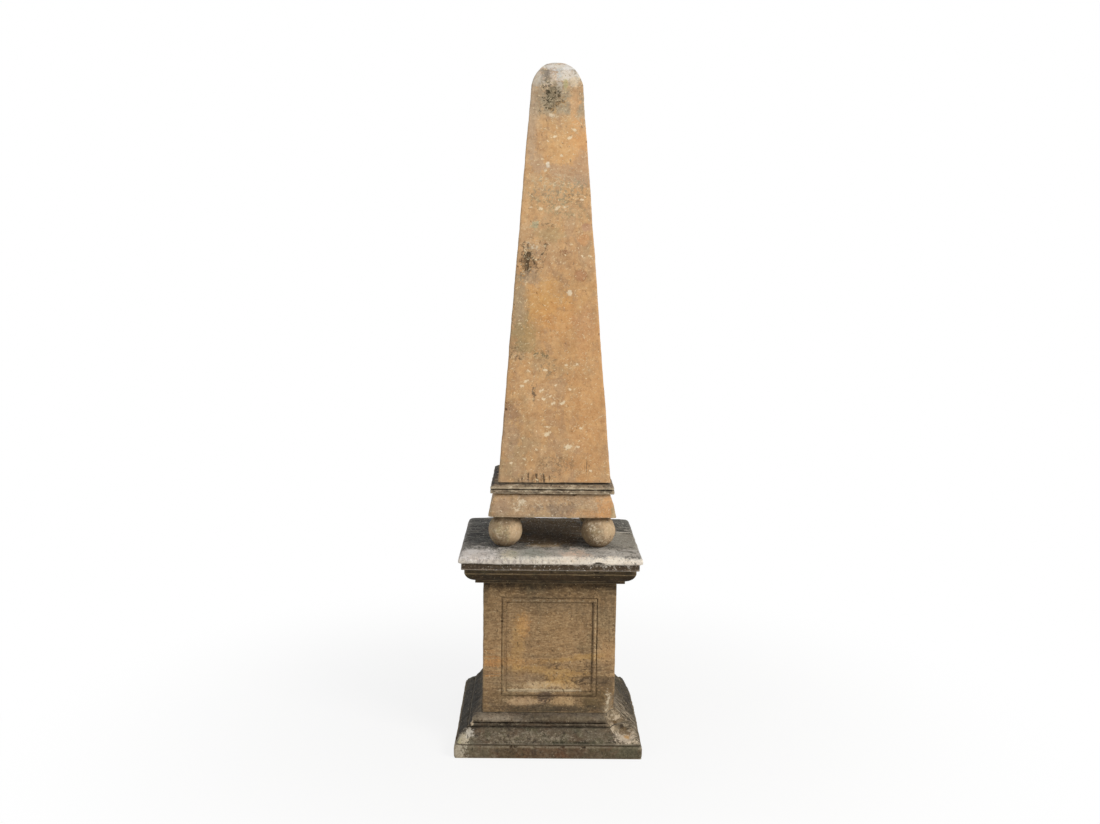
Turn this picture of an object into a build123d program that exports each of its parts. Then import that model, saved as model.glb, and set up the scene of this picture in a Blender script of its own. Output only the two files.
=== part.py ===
from build123d import *
import math
import os

# Garden obelisk of sandstone on a square panelled pedestal, standing on the level ground.
# Frame: +Z up, origin at the centre of the underside, front face towards -Y. Millimetres.

# ---------------------------------------------------------------- driving dimensions
# Mortar and metal
BED = 3.0                        # thickness of every lime mortar bed
BED_RAKE = 3.0                   # how far a bed is raked back behind the narrower stone
DOWEL_DIAMETER = 12.0            # iron dowel through each ball
DOWEL_SOCKET = 30.0              # depth of the dowel socket in the capping and in the block
SPINDLE_DIAMETER = 25.0          # iron spindle that holds shaft, band and block together
SPINDLE_SOCKET = 50.0            # depth of the spindle socket in the block
SPINDLE_REACH = 120.0            # how far the spindle stands up into the shaft
METAL_CLEARANCE = 0.3            # air round and above a dowel in its drilled hole

# Plinth course
PLINTH_WIDTH = 610.0
PLINTH_HEIGHT = 41.0
PLINTH_ARRIS = 3.0               # worn top and corner edges

# Raking course: a low riser and a slope on all four sides
RAKE_FOOT_INSET = 7.0            # riser back from the plinth face
RAKE_RISER = 3.0
RAKE_HEIGHT = 33.0
RAKE_RUN = 52.0                  # plan length of the slope

# Base moulding: neck, fillet and roll under the die
BASE_NECK_INSET = 10.0           # neck back from the top of the slope
BASE_NECK_HEIGHT = 5.5
BASE_FILLET_STEP = 7.0           # fillet out from the neck
BASE_FILLET_HEIGHT = 8.0
ROLL_QUIRK = 2.5                 # groove between fillet and roll
ROLL_RADIUS = 11.75
ROLL_REACH = 33.0                # roll face out from the die face

# Left and right of the base, worn to one plain splay from the riser to the die
SPLAY_HEAD_REACH = 8.0           # head of the splay out from the die face
CORNER_RETURN = 25.0             # roll that is left round the front left corner

# Round break out of the front right corner of base and die
BREAK_RADIUS = 90.0
BREAK_CENTRE_SIDE = 54.0         # out from the right-hand die face
BREAK_CENTRE_FRONT = 38.5        # out from the front die face
BREAK_CENTRE_RISE = 15.5         # above the foot of the die

# Die with a sunk panel on each face
DIE_WIDTH = 435.0
DIE_HEIGHT = 441.5
PANEL_WIDTH = 316.0
PANEL_HEIGHT = 336.0
PANEL_QUIRK_WIDTH = 3.5          # groove round the outside of the bead
PANEL_QUIRK_DEPTH = 3.5
PANEL_BEAD_WIDTH = 13.5
PANEL_FIELD_DEPTH = 5.5

# Bed moulding under the capping: fillet, flat ovolo, fillet
CORNICE_FILLET_REACH = 25.5      # lower fillet out from the die face
CORNICE_FILLET_HEIGHT = 9.0
OVOLO_STEP = 3.0                 # start of the ovolo out from the lower fillet
OVOLO_RUN = 31.0
OVOLO_RISE = 29.0
OVOLO_SWELL = 5.0                # how far the ovolo stands out from its chord
CORNICE_TOP_HEIGHT = 12.0

# Capping slab: square fascia, projecting lip and weathered round-edged top
FASCIA_REACH = 9.0               # fascia out from the upper fillet
FASCIA_HEIGHT = 20.0
LIP_REACH = 9.5                  # lip out from the fascia
LIP_UNDERCUT = 4.0               # rise of the splayed underside of the lip
LIP_HEIGHT = 5.0
CROWN_RADIUS = 18.0              # rounded upper edge
CROWN_RISE = 3.5                 # weathering, from the rounded edge up to where the balls stand
CROWN_RUN = 70.0                 # plan length of the weathering

# Setting: the obelisk doesn't stand quite over the middle of its pedestal
OBELISK_SET_OFF = 4.5            # balls, block and band towards +X
SHAFT_SET_OFF = 6.0              # foot of the shaft towards +X from the middle of the band
SHAFT_LEAN = 0.27                # degrees, back towards -X, which brings the head over the band

# Ball feet
BALL_DIAMETER = 112.0
BALL_HEIGHT = 105.0              # between the flat seats above and below
BALL_SPACING = 306.6             # centre to centre, both ways

# Block over the balls, splayed on all four sides
BLOCK_FOOT_WIDTH = 417.5
BLOCK_SPLAY_RUN = 9.0            # lower, steeper splay
BLOCK_SPLAY_HEIGHT = 43.6
BLOCK_SHOULDER_RUN = 13.5        # upper, flatter splay
BLOCK_SHOULDER_HEIGHT = 30.4
BLOCK_CORNER_CUT = 12.0          # worn facet at each foot corner, running out at the shoulder

# Band: two fillets with a groove between them
BAND_REACH = 15.5                # band face out from the head of the block
BAND_LOWER_HEIGHT = 12.0
BAND_GROOVE_HEIGHT = 3.5
BAND_GROOVE_DEPTH = 5.0
BAND_UPPER_HEIGHT = 12.6
BAND_WEATHERING_RUN = 12.0       # splay on the upper fillet that sheds water
BAND_WEATHERING_RISE = 7.0

# Shaft, tapered, with a four-sided domed head
SHAFT_FOOT_WIDTH = 367.0
SHAFT_HEAD_WIDTH = 166.2
SHAFT_HEIGHT = 1279.5
HEAD_RISE = 82.3
HEAD_LEAN = 13.0                 # degrees, how far the dome leans in where it leaves the shaft
HEAD_FULLNESS = 42.0             # pull of the dome's curve at its foot and at its crown
HEAD_CROWN_WIDTH = 8.0           # worn flat at the very top

# ---------------------------------------------------------------- levels, from the ground up
RAKE_LEVEL = PLINTH_HEIGHT + BED
BASE_MOULDING_LEVEL = RAKE_LEVEL + RAKE_HEIGHT + BED
BASE_MOULDING_HEIGHT = BASE_NECK_HEIGHT + BASE_FILLET_HEIGHT + ROLL_QUIRK + 2 * ROLL_RADIUS
DIE_LEVEL = BASE_MOULDING_LEVEL + BASE_MOULDING_HEIGHT + BED
CORNICE_LEVEL = DIE_LEVEL + DIE_HEIGHT + BED
CORNICE_HEIGHT = CORNICE_FILLET_HEIGHT + OVOLO_RISE + CORNICE_TOP_HEIGHT
SLAB_LEVEL = CORNICE_LEVEL + CORNICE_HEIGHT + BED
SLAB_HEIGHT = FASCIA_HEIGHT + LIP_UNDERCUT + LIP_HEIGHT + CROWN_RADIUS + CROWN_RISE
BALL_LEVEL = SLAB_LEVEL + SLAB_HEIGHT
BLOCK_LEVEL = BALL_LEVEL + BALL_HEIGHT
BLOCK_HEIGHT = BLOCK_SPLAY_HEIGHT + BLOCK_SHOULDER_HEIGHT
BAND_LEVEL = BLOCK_LEVEL + BLOCK_HEIGHT + BED
BAND_HEIGHT = BAND_LOWER_HEIGHT + BAND_GROOVE_HEIGHT + BAND_UPPER_HEIGHT
SHAFT_LEVEL = BAND_LEVEL + BAND_HEIGHT + BED

# ---------------------------------------------------------------- half widths that follow
PLINTH_HALF = PLINTH_WIDTH / 2
RAKE_FOOT_HALF = PLINTH_HALF - RAKE_FOOT_INSET
RAKE_TOP_HALF = RAKE_FOOT_HALF - RAKE_RUN
BASE_NECK_HALF = RAKE_TOP_HALF - BASE_NECK_INSET
DIE_HALF = DIE_WIDTH / 2
CORNICE_FOOT_HALF = DIE_HALF + CORNICE_FILLET_REACH
CORNICE_TOP_HALF = CORNICE_FOOT_HALF + OVOLO_STEP + OVOLO_RUN
FASCIA_HALF = CORNICE_TOP_HALF + FASCIA_REACH
LIP_HALF = FASCIA_HALF + LIP_REACH
BLOCK_FOOT_HALF = BLOCK_FOOT_WIDTH / 2
BLOCK_BEND_HALF = BLOCK_FOOT_HALF - BLOCK_SPLAY_RUN
BLOCK_HEAD_HALF = BLOCK_BEND_HALF - BLOCK_SHOULDER_RUN
BAND_HALF = BLOCK_HEAD_HALF + BAND_REACH
SHAFT_FOOT_HALF = SHAFT_FOOT_WIDTH / 2
SHAFT_HEAD_HALF = SHAFT_HEAD_WIDTH / 2

FEET = {
    "front_left": (-1, -1),
    "front_right": (1, -1),
    "back_left": (-1, 1),
    "back_right": (1, 1),
}


# ---------------------------------------------------------------- shared shapes
def at(half, level):
    """Point of a course's right-hand outline: half width and level."""
    return (half, 0, level)


def set_off(shape):
    """Move a stone from the middle of the pedestal to the axis of the obelisk."""
    return Pos(OBELISK_SET_OFF, 0, 0) * shape


def ridge(*outline):
    """Long stone along Y whose right-hand outline, from the under bed to the top bed, is given."""
    edges = Curve() + list(outline)
    foot = edges @ 0
    head = edges @ 1
    closing = Polyline(head, at(0, head.Z), at(0, foot.Z), foot)
    half = make_face(edges.edges() + closing.edges())
    section = half + mirror(half, about=Plane.YZ)
    reach = 2 * edges.bounding_box().max.X
    return extrude(section, amount=reach, both=True)


def square_course(*outline):
    """Mitred square stone with the same outline on all four sides."""
    stone = ridge(*outline)
    return stone & Rot(0, 0, 90) * stone


def splayed_course(sides, *front):
    """Mitred stone with one outline at front and back and another on its left and right."""
    return ridge(*sides) & Rot(0, 0, 90) * ridge(*front)


def quarter_round(start, end, heading):
    """Quarter circle that leaves its start point in the given direction."""
    return TangentArc(start, end, tangent=heading)


def swollen(start, end, swell):
    """Flat arc that stands out from its chord, downwards and outwards."""
    chord = Vector(*end) - Vector(*start)
    outwards = Vector(chord.Z, 0, -chord.X).normalized()
    return ThreePointArc(start, Vector(*start) + chord / 2 + outwards * swell, end)


def mortar_bed(level, lower_half, upper_half):
    """Lime bed on a stone, raked back behind the narrower of the two stones it joins."""
    half = min(lower_half, upper_half) - BED_RAKE
    return square_course(Line(at(half, level), at(half, level + BED)))


def splayed_bed(level, lower_half, upper_half):
    """Lime bed between two courses that are splayed left and right."""
    depth = min(lower_half, upper_half) - BED_RAKE
    width = splay_at(level + BED)[0] - BED_RAKE
    side = Line(at(width, level), at(width, level + BED))
    return splayed_course([side], Line(at(depth, level), at(depth, level + BED)))


def pin(diameter, level, length):
    """Upright round metal pin on the axis of the obelisk."""
    return Pos(OBELISK_SET_OFF, 0, level) * extrude(Circle(diameter / 2), amount=length)


def pin_hole(diameter, level, length):
    """Drilled hole for a pin that stands on the bottom of the hole."""
    return pin(diameter + 2 * METAL_CLEARANCE, level, length + METAL_CLEARANCE)


def place_at_foot(name, shape):
    """Move a shape from the axis of the obelisk to the axis of one ball foot."""
    side, depth = FEET[name]
    return Pos(side * BALL_SPACING / 2, depth * BALL_SPACING / 2, 0) * shape


# ---------------------------------------------------------------- pedestal
def splay_at(level):
    """Point of the plain splay on the left and right of the base."""
    foot_level = RAKE_LEVEL + RAKE_RISER
    head_half = DIE_HALF + SPLAY_HEAD_REACH
    share = (level - foot_level) / (DIE_LEVEL - BED - foot_level)
    return at(RAKE_FOOT_HALF + share * (head_half - RAKE_FOOT_HALF), level)


def corner_break():
    """Ball that is broken out of the front right corner."""
    return Pos(
        DIE_HALF + BREAK_CENTRE_SIDE,
        -DIE_HALF - BREAK_CENTRE_FRONT,
        DIE_LEVEL + BREAK_CENTRE_RISE,
    ) * Sphere(BREAK_RADIUS)


def plinth_course():
    """Square plinth with its upper arrises worn."""
    return square_course(
        Line(at(PLINTH_HALF, 0), at(PLINTH_HALF, PLINTH_HEIGHT - PLINTH_ARRIS)),
        Line(at(PLINTH_HALF, PLINTH_HEIGHT - PLINTH_ARRIS),
             at(PLINTH_HALF - PLINTH_ARRIS, PLINTH_HEIGHT)),
    )


def raking_course():
    """Base stone that slopes up from a low riser, steeper on its left and right."""
    riser_top = RAKE_LEVEL + RAKE_RISER
    riser = Line(at(RAKE_FOOT_HALF, RAKE_LEVEL), at(RAKE_FOOT_HALF, riser_top))
    rake = Line(riser @ 1, at(RAKE_TOP_HALF, RAKE_LEVEL + RAKE_HEIGHT))
    splay = Line(riser @ 1, splay_at(RAKE_LEVEL + RAKE_HEIGHT))
    return splayed_course([riser, splay], riser, rake) - corner_break()


def base_moulding():
    """Neck, fillet and roll on which the die stands, with plain splays left and right."""
    neck_top = BASE_MOULDING_LEVEL + BASE_NECK_HEIGHT
    fillet_half = BASE_NECK_HALF + BASE_FILLET_STEP
    fillet_top = neck_top + BASE_FILLET_HEIGHT
    roll_foot = fillet_top + ROLL_QUIRK
    roll_head = roll_foot + 2 * ROLL_RADIUS
    roll_centre = DIE_HALF + ROLL_REACH - ROLL_RADIUS
    lower_mouldings = Polyline(
        at(BASE_NECK_HALF, BASE_MOULDING_LEVEL),
        at(BASE_NECK_HALF, neck_top),
        at(fillet_half, neck_top),
        at(fillet_half, fillet_top),
        at(BASE_NECK_HALF, fillet_top),
        at(BASE_NECK_HALF, roll_foot),
        at(roll_centre, roll_foot),
    )
    roll = ThreePointArc(
        lower_mouldings @ 1,
        at(roll_centre + ROLL_RADIUS, roll_foot + ROLL_RADIUS),
        at(roll_centre, roll_head),
    )
    splay = Line(splay_at(BASE_MOULDING_LEVEL), splay_at(roll_head))
    stone = splayed_course([splay], lower_mouldings, roll)
    roll_course = square_course(Line(at(DIE_HALF, roll_foot), roll @ 0), roll)
    corner = Pos(-roll_centre, -roll_centre, roll_foot) * Box(
        2 * CORNER_RETURN, 2 * CORNER_RETURN, 4 * ROLL_RADIUS
    )
    return stone + (roll_course & corner) - corner_break()


def panel_cutter():
    """What is cut from the front face of the die: a quirk, a bead left standing, a sunk field."""
    middle = Pos(0, -DIE_HALF, DIE_LEVEL + DIE_HEIGHT / 2) * Rot(90, 0, 0)
    bead_width = PANEL_WIDTH - 2 * PANEL_QUIRK_WIDTH
    bead_height = PANEL_HEIGHT - 2 * PANEL_QUIRK_WIDTH
    field_width = bead_width - 2 * PANEL_BEAD_WIDTH
    field_height = bead_height - 2 * PANEL_BEAD_WIDTH
    bead_depth = max(PANEL_QUIRK_DEPTH, PANEL_FIELD_DEPTH)
    bead = Box(bead_width, bead_height, 2 * bead_depth)
    bead -= Box(field_width, field_height, 2 * bead_depth)
    rounding = min(PANEL_BEAD_WIDTH / 2, PANEL_QUIRK_DEPTH) * 0.9
    bead = fillet(bead.faces().sort_by(Axis.Z)[-1].edges(), rounding)
    bead = Pos(0, 0, -bead_depth) * bead
    quirk = Box(PANEL_WIDTH, PANEL_HEIGHT, 2 * PANEL_QUIRK_DEPTH)
    field = Box(field_width + PANEL_BEAD_WIDTH, field_height + PANEL_BEAD_WIDTH, 2 * PANEL_FIELD_DEPTH)
    return middle * (quirk + field - bead)


def die():
    """Square die with the same sunk panel on all four faces and one broken corner."""
    block = square_course(Line(at(DIE_HALF, DIE_LEVEL), at(DIE_HALF, DIE_LEVEL + DIE_HEIGHT)))
    cutter = panel_cutter()
    for turn in range(4):
        block -= Rot(0, 0, 90 * turn) * cutter
    return block - corner_break()


def bed_moulding():
    """Fillet, ovolo and fillet that carry the capping slab out from the die."""
    fillet_top = CORNICE_LEVEL + CORNICE_FILLET_HEIGHT
    ovolo_foot = CORNICE_FOOT_HALF + OVOLO_STEP
    ovolo_top = fillet_top + OVOLO_RISE
    return square_course(
        Polyline(
            at(CORNICE_FOOT_HALF, CORNICE_LEVEL),
            at(CORNICE_FOOT_HALF, fillet_top),
            at(ovolo_foot, fillet_top),
        ),
        swollen(at(ovolo_foot, fillet_top), at(CORNICE_TOP_HALF, ovolo_top), OVOLO_SWELL),
        Line(at(CORNICE_TOP_HALF, ovolo_top), at(CORNICE_TOP_HALF, CORNICE_LEVEL + CORNICE_HEIGHT)),
    )


def capping_slab():
    """Fascia, projecting lip and round-edged, weathered top, with sockets for four dowels."""
    fascia_top = SLAB_LEVEL + FASCIA_HEIGHT
    lip_foot = fascia_top + LIP_UNDERCUT
    lip_top = lip_foot + LIP_HEIGHT
    crown_half = LIP_HALF - CROWN_RADIUS
    crown_top = lip_top + CROWN_RADIUS
    slab = square_course(
        Polyline(
            at(FASCIA_HALF, SLAB_LEVEL),
            at(FASCIA_HALF, fascia_top),
            at(LIP_HALF, lip_foot),
            at(LIP_HALF, lip_top),
        ),
        quarter_round(at(LIP_HALF, lip_top), at(crown_half, crown_top), (0, 0, 1)),
        Line(at(crown_half, crown_top), at(crown_half - CROWN_RUN, BALL_LEVEL)),
    )
    for name in FEET:
        slab -= place_at_foot(name, pin_hole(DOWEL_DIAMETER, BALL_LEVEL - DOWEL_SOCKET, DOWEL_SOCKET))
    return slab


# ---------------------------------------------------------------- ball feet
def ball():
    """Stone ball on the axis of the obelisk, with a flat seat at each end and a drilled hole."""
    stone = Pos(0, 0, BALL_LEVEL + BALL_HEIGHT / 2) * Sphere(BALL_DIAMETER / 2)
    between_seats = Pos(0, 0, BALL_LEVEL) * extrude(
        Rectangle(BALL_DIAMETER, BALL_DIAMETER), amount=BALL_HEIGHT
    )
    return set_off(stone & between_seats) - pin_hole(DOWEL_DIAMETER, BALL_LEVEL, BALL_HEIGHT)


def ball_dowel():
    """Iron dowel from the capping slab, through a ball, into the block."""
    return pin(DOWEL_DIAMETER, BALL_LEVEL - DOWEL_SOCKET, 2 * DOWEL_SOCKET + BALL_HEIGHT)


# ---------------------------------------------------------------- obelisk
def spindle():
    """Iron spindle through block, band and foot of the shaft."""
    foot = BLOCK_LEVEL + BLOCK_HEIGHT - SPINDLE_SOCKET
    return pin(SPINDLE_DIAMETER, foot, SHAFT_LEVEL + SPINDLE_REACH - foot)


def spindle_hole():
    """Hole for the spindle, closed at its foot in the block and at its head in the shaft."""
    foot = BLOCK_LEVEL + BLOCK_HEIGHT - SPINDLE_SOCKET
    return pin_hole(SPINDLE_DIAMETER, foot, SHAFT_LEVEL + SPINDLE_REACH - foot)


def corner_facets():
    """Square turned by an eighth, whose sides cut the foot corners of the block."""
    foot_half = (2 * BLOCK_FOOT_HALF - BLOCK_CORNER_CUT) / 2**0.5
    bend_half = BLOCK_BEND_HALF * 2**0.5
    lean = (foot_half - bend_half) / BLOCK_SPLAY_HEIGHT
    head_half = foot_half - lean * BLOCK_HEIGHT
    return Rot(0, 0, 45) * square_course(
        Line(at(foot_half, BLOCK_LEVEL), at(head_half, BLOCK_LEVEL + BLOCK_HEIGHT))
    )


def obelisk_block():
    """Block on the balls: two splays, worn foot corners, dowel sockets and spindle socket."""
    bend = BLOCK_LEVEL + BLOCK_SPLAY_HEIGHT
    block = square_course(
        Polyline(
            at(BLOCK_FOOT_HALF, BLOCK_LEVEL),
            at(BLOCK_BEND_HALF, bend),
            at(BLOCK_HEAD_HALF, BLOCK_LEVEL + BLOCK_HEIGHT),
        )
    )
    block = set_off(block & corner_facets())
    for name in FEET:
        block -= place_at_foot(name, pin_hole(DOWEL_DIAMETER, BLOCK_LEVEL, DOWEL_SOCKET))
    return block - spindle_hole()


def band():
    """Two fillets with a groove between them; the upper one is weathered to a splay."""
    groove_foot = BAND_LEVEL + BAND_LOWER_HEIGHT
    groove_head = groove_foot + BAND_GROOVE_HEIGHT
    groove_half = BAND_HALF - BAND_GROOVE_DEPTH
    head = BAND_LEVEL + BAND_HEIGHT
    stone = square_course(
        Polyline(
            at(BAND_HALF, BAND_LEVEL),
            at(BAND_HALF, groove_foot),
            at(groove_half, groove_foot),
            at(groove_half, groove_head),
            at(BAND_HALF, groove_head),
            at(BAND_HALF, head - BAND_WEATHERING_RISE),
            at(BAND_HALF - BAND_WEATHERING_RUN, head),
        )
    )
    return set_off(stone) - spindle_hole()


def shaft():
    """Tapered shaft with a head of four curved faces, leaning a little, its foot cut level."""
    head_level = SHAFT_LEVEL + SHAFT_HEIGHT
    crown_level = head_level + HEAD_RISE
    crown_half = HEAD_CROWN_WIDTH / 2
    taper = (SHAFT_FOOT_HALF - SHAFT_HEAD_HALF) / SHAFT_HEIGHT
    spare = SHAFT_FOOT_WIDTH * math.sin(math.radians(SHAFT_LEAN))
    leaning_in = Vector(0, 0, HEAD_FULLNESS).rotate(Axis.Y, -HEAD_LEAN)
    stone = square_course(
        Line(
            at(SHAFT_FOOT_HALF + taper * spare, SHAFT_LEVEL - spare),
            at(SHAFT_HEAD_HALF, head_level),
        ),
        Bezier(
            at(SHAFT_HEAD_HALF, head_level),
            Vector(*at(SHAFT_HEAD_HALF, head_level)) + leaning_in,
            at(crown_half + HEAD_FULLNESS, crown_level),
            at(crown_half, crown_level),
        ),
    )
    foot = Pos(0, 0, SHAFT_LEVEL)
    stone = foot * Rot(0, -SHAFT_LEAN, 0) * foot.inverse() * stone
    above_foot = foot * extrude(
        Rectangle(2 * SHAFT_FOOT_WIDTH, 2 * SHAFT_FOOT_WIDTH), amount=2 * (SHAFT_HEIGHT + HEAD_RISE)
    )
    return set_off(Pos(SHAFT_SET_OFF, 0, 0) * (stone & above_foot)) - spindle_hole()


# ---------------------------------------------------------------- mortar beds, from the ground up
def mortar_beds():
    """Every lime bed by name."""
    spindle_way = spindle_hole()
    under_base = splayed_bed(BASE_MOULDING_LEVEL - BED, RAKE_TOP_HALF, BASE_NECK_HALF)
    under_die = mortar_bed(DIE_LEVEL - BED, DIE_HALF + SPLAY_HEAD_REACH, DIE_HALF)
    band_top_half = BAND_HALF - BAND_WEATHERING_RUN
    under_band = set_off(mortar_bed(BAND_LEVEL - BED, BLOCK_HEAD_HALF, BAND_HALF))
    under_shaft = set_off(mortar_bed(SHAFT_LEVEL - BED, band_top_half, SHAFT_FOOT_HALF))
    return {
        "bed_under_rake": mortar_bed(PLINTH_HEIGHT, PLINTH_HALF, RAKE_FOOT_HALF),
        "bed_under_base": under_base - corner_break(),
        "bed_under_die": under_die - corner_break(),
        "bed_under_cornice": mortar_bed(CORNICE_LEVEL - BED, DIE_HALF, CORNICE_FOOT_HALF),
        "bed_under_capping": mortar_bed(SLAB_LEVEL - BED, CORNICE_TOP_HALF, FASCIA_HALF),
        "bed_under_band": under_band - spindle_way,
        "bed_under_shaft": Pos(SHAFT_SET_OFF, 0, 0) * under_shaft - spindle_way,
    }


# ---------------------------------------------------------------- assembly
def assembly():
    """Every solid by its node name."""
    nodes = {
        "plinth_course": plinth_course(),
        "raking_course": raking_course(),
        "base_moulding": base_moulding(),
        "die": die(),
        "bed_moulding": bed_moulding(),
        "capping_slab": capping_slab(),
        "obelisk_block": obelisk_block(),
        "band": band(),
        "shaft": shaft(),
        "spindle": spindle(),
    }
    for name in FEET:
        nodes[f"ball_{name}"] = place_at_foot(name, ball())
        nodes[f"dowel_{name}"] = place_at_foot(name, ball_dowel())
    nodes.update(mortar_beds())
    return nodes


os.makedirs("parts", exist_ok=True)
for node, solid in assembly().items():
    export_step(solid, f"parts/{node}.step")
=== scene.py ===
"""Sandstone garden obelisk: a tapered shaft with a domed head, on four balls and a panelled pedestal.

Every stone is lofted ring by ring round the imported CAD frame, roughened, worn at its arrises,
broken where the real one is broken, and dressed in a weathered sandstone of its own.
"""

import logging
import math
import random
from collections.abc import Iterable, Sequence
from dataclasses import dataclass
from enum import Enum

import bmesh
import bpy
from mathutils import Euler, Matrix, Vector, noise
from mathutils.geometry import interpolate_bezier
from mathutils.kdtree import KDTree


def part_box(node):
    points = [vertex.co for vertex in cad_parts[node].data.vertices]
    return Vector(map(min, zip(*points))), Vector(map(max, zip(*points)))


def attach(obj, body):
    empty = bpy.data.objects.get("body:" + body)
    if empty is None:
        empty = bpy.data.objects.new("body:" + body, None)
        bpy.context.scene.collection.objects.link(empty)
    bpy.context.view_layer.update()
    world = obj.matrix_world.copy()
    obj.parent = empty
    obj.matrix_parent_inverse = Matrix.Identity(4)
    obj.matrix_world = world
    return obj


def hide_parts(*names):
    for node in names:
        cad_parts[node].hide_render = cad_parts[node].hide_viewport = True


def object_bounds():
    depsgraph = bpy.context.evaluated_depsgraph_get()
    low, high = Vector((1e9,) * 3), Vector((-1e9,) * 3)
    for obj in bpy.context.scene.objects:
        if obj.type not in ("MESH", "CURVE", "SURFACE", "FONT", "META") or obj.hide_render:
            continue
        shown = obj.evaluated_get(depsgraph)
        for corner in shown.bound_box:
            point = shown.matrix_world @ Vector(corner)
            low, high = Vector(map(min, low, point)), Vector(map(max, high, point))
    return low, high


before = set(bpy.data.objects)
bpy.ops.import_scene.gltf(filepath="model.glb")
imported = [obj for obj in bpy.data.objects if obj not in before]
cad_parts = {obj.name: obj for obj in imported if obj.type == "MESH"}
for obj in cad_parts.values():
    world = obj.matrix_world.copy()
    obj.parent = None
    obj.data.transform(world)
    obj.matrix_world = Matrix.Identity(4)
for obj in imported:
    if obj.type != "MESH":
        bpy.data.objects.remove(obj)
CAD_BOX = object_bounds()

LOG = logging.getLogger("obelisk")

METRE = 1000.0  # in the millimetres that the finishes are given in
SQUARE_TURN = math.radians(45.0)  # from a corner of a square to the middle of its side
SHARP_ANGLE = math.radians(38.0)  # from here on an arris is shaded sharp
ARRIS_ANGLE = 0.35  # from here on it is rubbed round, in radians
CHIP_ANGLE = 0.5  # and from here on it is chipped
TRIM_FADE = 0.02  # length over which a trimmed corner starts
HOLD_REACH = 0.0002  # how near a vertex lies to a bed that is kept flat
CORNER_SEED = 7  # shape of the break that several stones share
CHIP_SHAPE = ((0.9, 1.7), (0.9, 1.7), (0.8, 1.2))  # least and greatest reach along each axis
ACROSS_DIE = 0.1  # longer upright edges and larger faces are those of the whole die

Colour = tuple[float, float, float, float]
Rgb = tuple[int, int, int]
Triple = tuple[float, float, float]
Socket = bpy.types.NodeSocket
Value = float | Socket
Paint = Colour | Socket

WHOLE = (1.0, 1.0, 1.0)


def tint(chart: Rgb) -> Colour:
    """Turn a paint chart colour into the linear colour that shaders use.

    Args:
        chart: Red, green and blue, each from 0 to 255.

    Returns:
        Linear red, green, blue and a full alpha.
    """

    def linear(level: int) -> float:
        """Linear light of one channel."""
        share = level / 255.0
        if share <= 0.04045:
            return share / 12.92
        return ((share + 0.055) / 1.055) ** 2.4

    return (*(linear(level) for level in chart), 1.0)


def mesh_data(name: str, mesh: bmesh.types.BMesh) -> bpy.types.Mesh:
    """Mesh data of a finished bmesh, which is freed."""
    data = bpy.data.meshes.new(name)
    mesh.to_mesh(data)
    mesh.free()
    return data


def linked(name: str, data: bpy.types.ID) -> bpy.types.Object:
    """New object of the scene."""
    thing = bpy.data.objects.new(name, data)
    bpy.context.collection.objects.link(thing)
    return thing


# ---------------------------------------------------------------- stone shapes


@dataclass(frozen=True)
class Ring:
    """One level of a stone's outline: half width along X, half depth along Y, height."""

    width: float
    depth: float
    level: float

    def towards(self, other: "Ring", share: float) -> "Ring":
        """Ring that lies a share of the way to another one."""
        return Ring(
            self.width + (other.width - self.width) * share,
            self.depth + (other.depth - self.depth) * share,
            self.level + (other.level - self.level) * share,
        )

    def gap(self, other: "Ring") -> float:
        """Length of the outline between two rings."""
        side = max(abs(other.width - self.width), abs(other.depth - self.depth))
        return math.hypot(side, other.level - self.level)


def square(half: float, level: float) -> Ring:
    """Ring that is as deep as it is wide."""
    return Ring(half, half, level)


def swept(centre: Ring, radius: float, start: float, end: float, steps: int) -> list[Ring]:
    """Rings along a round moulding.

    Args:
        centre: Where the moulding's centre lies.
        radius: Radius of the moulding.
        start: Angle of the first ring in degrees; 0 points outwards and 90 up.
        end: Angle of the last ring in degrees.
        steps: Number of parts between the two.

    Returns:
        The rings from start to end.
    """
    rings = []
    for step in range(steps + 1):
        angle = math.radians(start + (end - start) * step / steps)
        out = radius * math.cos(angle)
        rings.append(
            Ring(centre.width + out, centre.depth + out, centre.level + radius * math.sin(angle))
        )
    return rings


def filled_in(rings: Sequence[Ring], step: float) -> list[Ring]:
    """Add rings so that no two neighbours lie further apart than a step."""
    dense = [rings[0]]
    for before, after in zip(rings, rings[1:]):
        parts = max(1, math.ceil(before.gap(after) / step))
        dense.extend(before.towards(after, part / parts) for part in range(1, parts + 1))
    return dense


@dataclass(frozen=True)
class Relief:
    """How uneven a worn face is: height of its swell, dents and grain, in metres."""

    swell: float = 0.0012
    dents: float = 0.0007
    grain: float = 0.00035
    swell_size: float = 0.16
    dent_size: float = 0.035
    grain_size: float = 0.011

    def height(self, place: Vector) -> float:
        """Height of the worn face over the dressed one at a place."""
        swell = noise.fractal(place / self.swell_size, 1.0, 2.0, 3)
        dents = noise.fractal(place / self.dent_size, 0.9, 2.1, 3)
        grain = noise.noise(place / self.grain_size)
        return self.swell * swell + self.dents * dents + self.grain * grain


@dataclass(frozen=True)
class Rough:
    """Part of a stone that is rougher than the rest: an ellipsoid with a soft edge."""

    centre: Triple
    reach: Triple
    lift: float
    size: float
    grain: Triple = WHOLE

    def height(self, place: Vector, drift: Vector) -> float:
        """Extra height at a place."""
        offset = place - Vector(self.centre)
        apart = math.sqrt(sum((part / reach) ** 2 for part, reach in zip(offset, self.reach)))
        share = max(0.0, min(1.0, (1.15 - apart) / 0.3))
        if share == 0.0:
            return 0.0
        along = Vector(part / length for part, length in zip(place + drift, self.grain))
        ridges = 1.0 - 2.0 * abs(noise.fractal(along / self.size, 0.8, 2.2, 4))
        return self.lift * share * ridges


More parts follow.
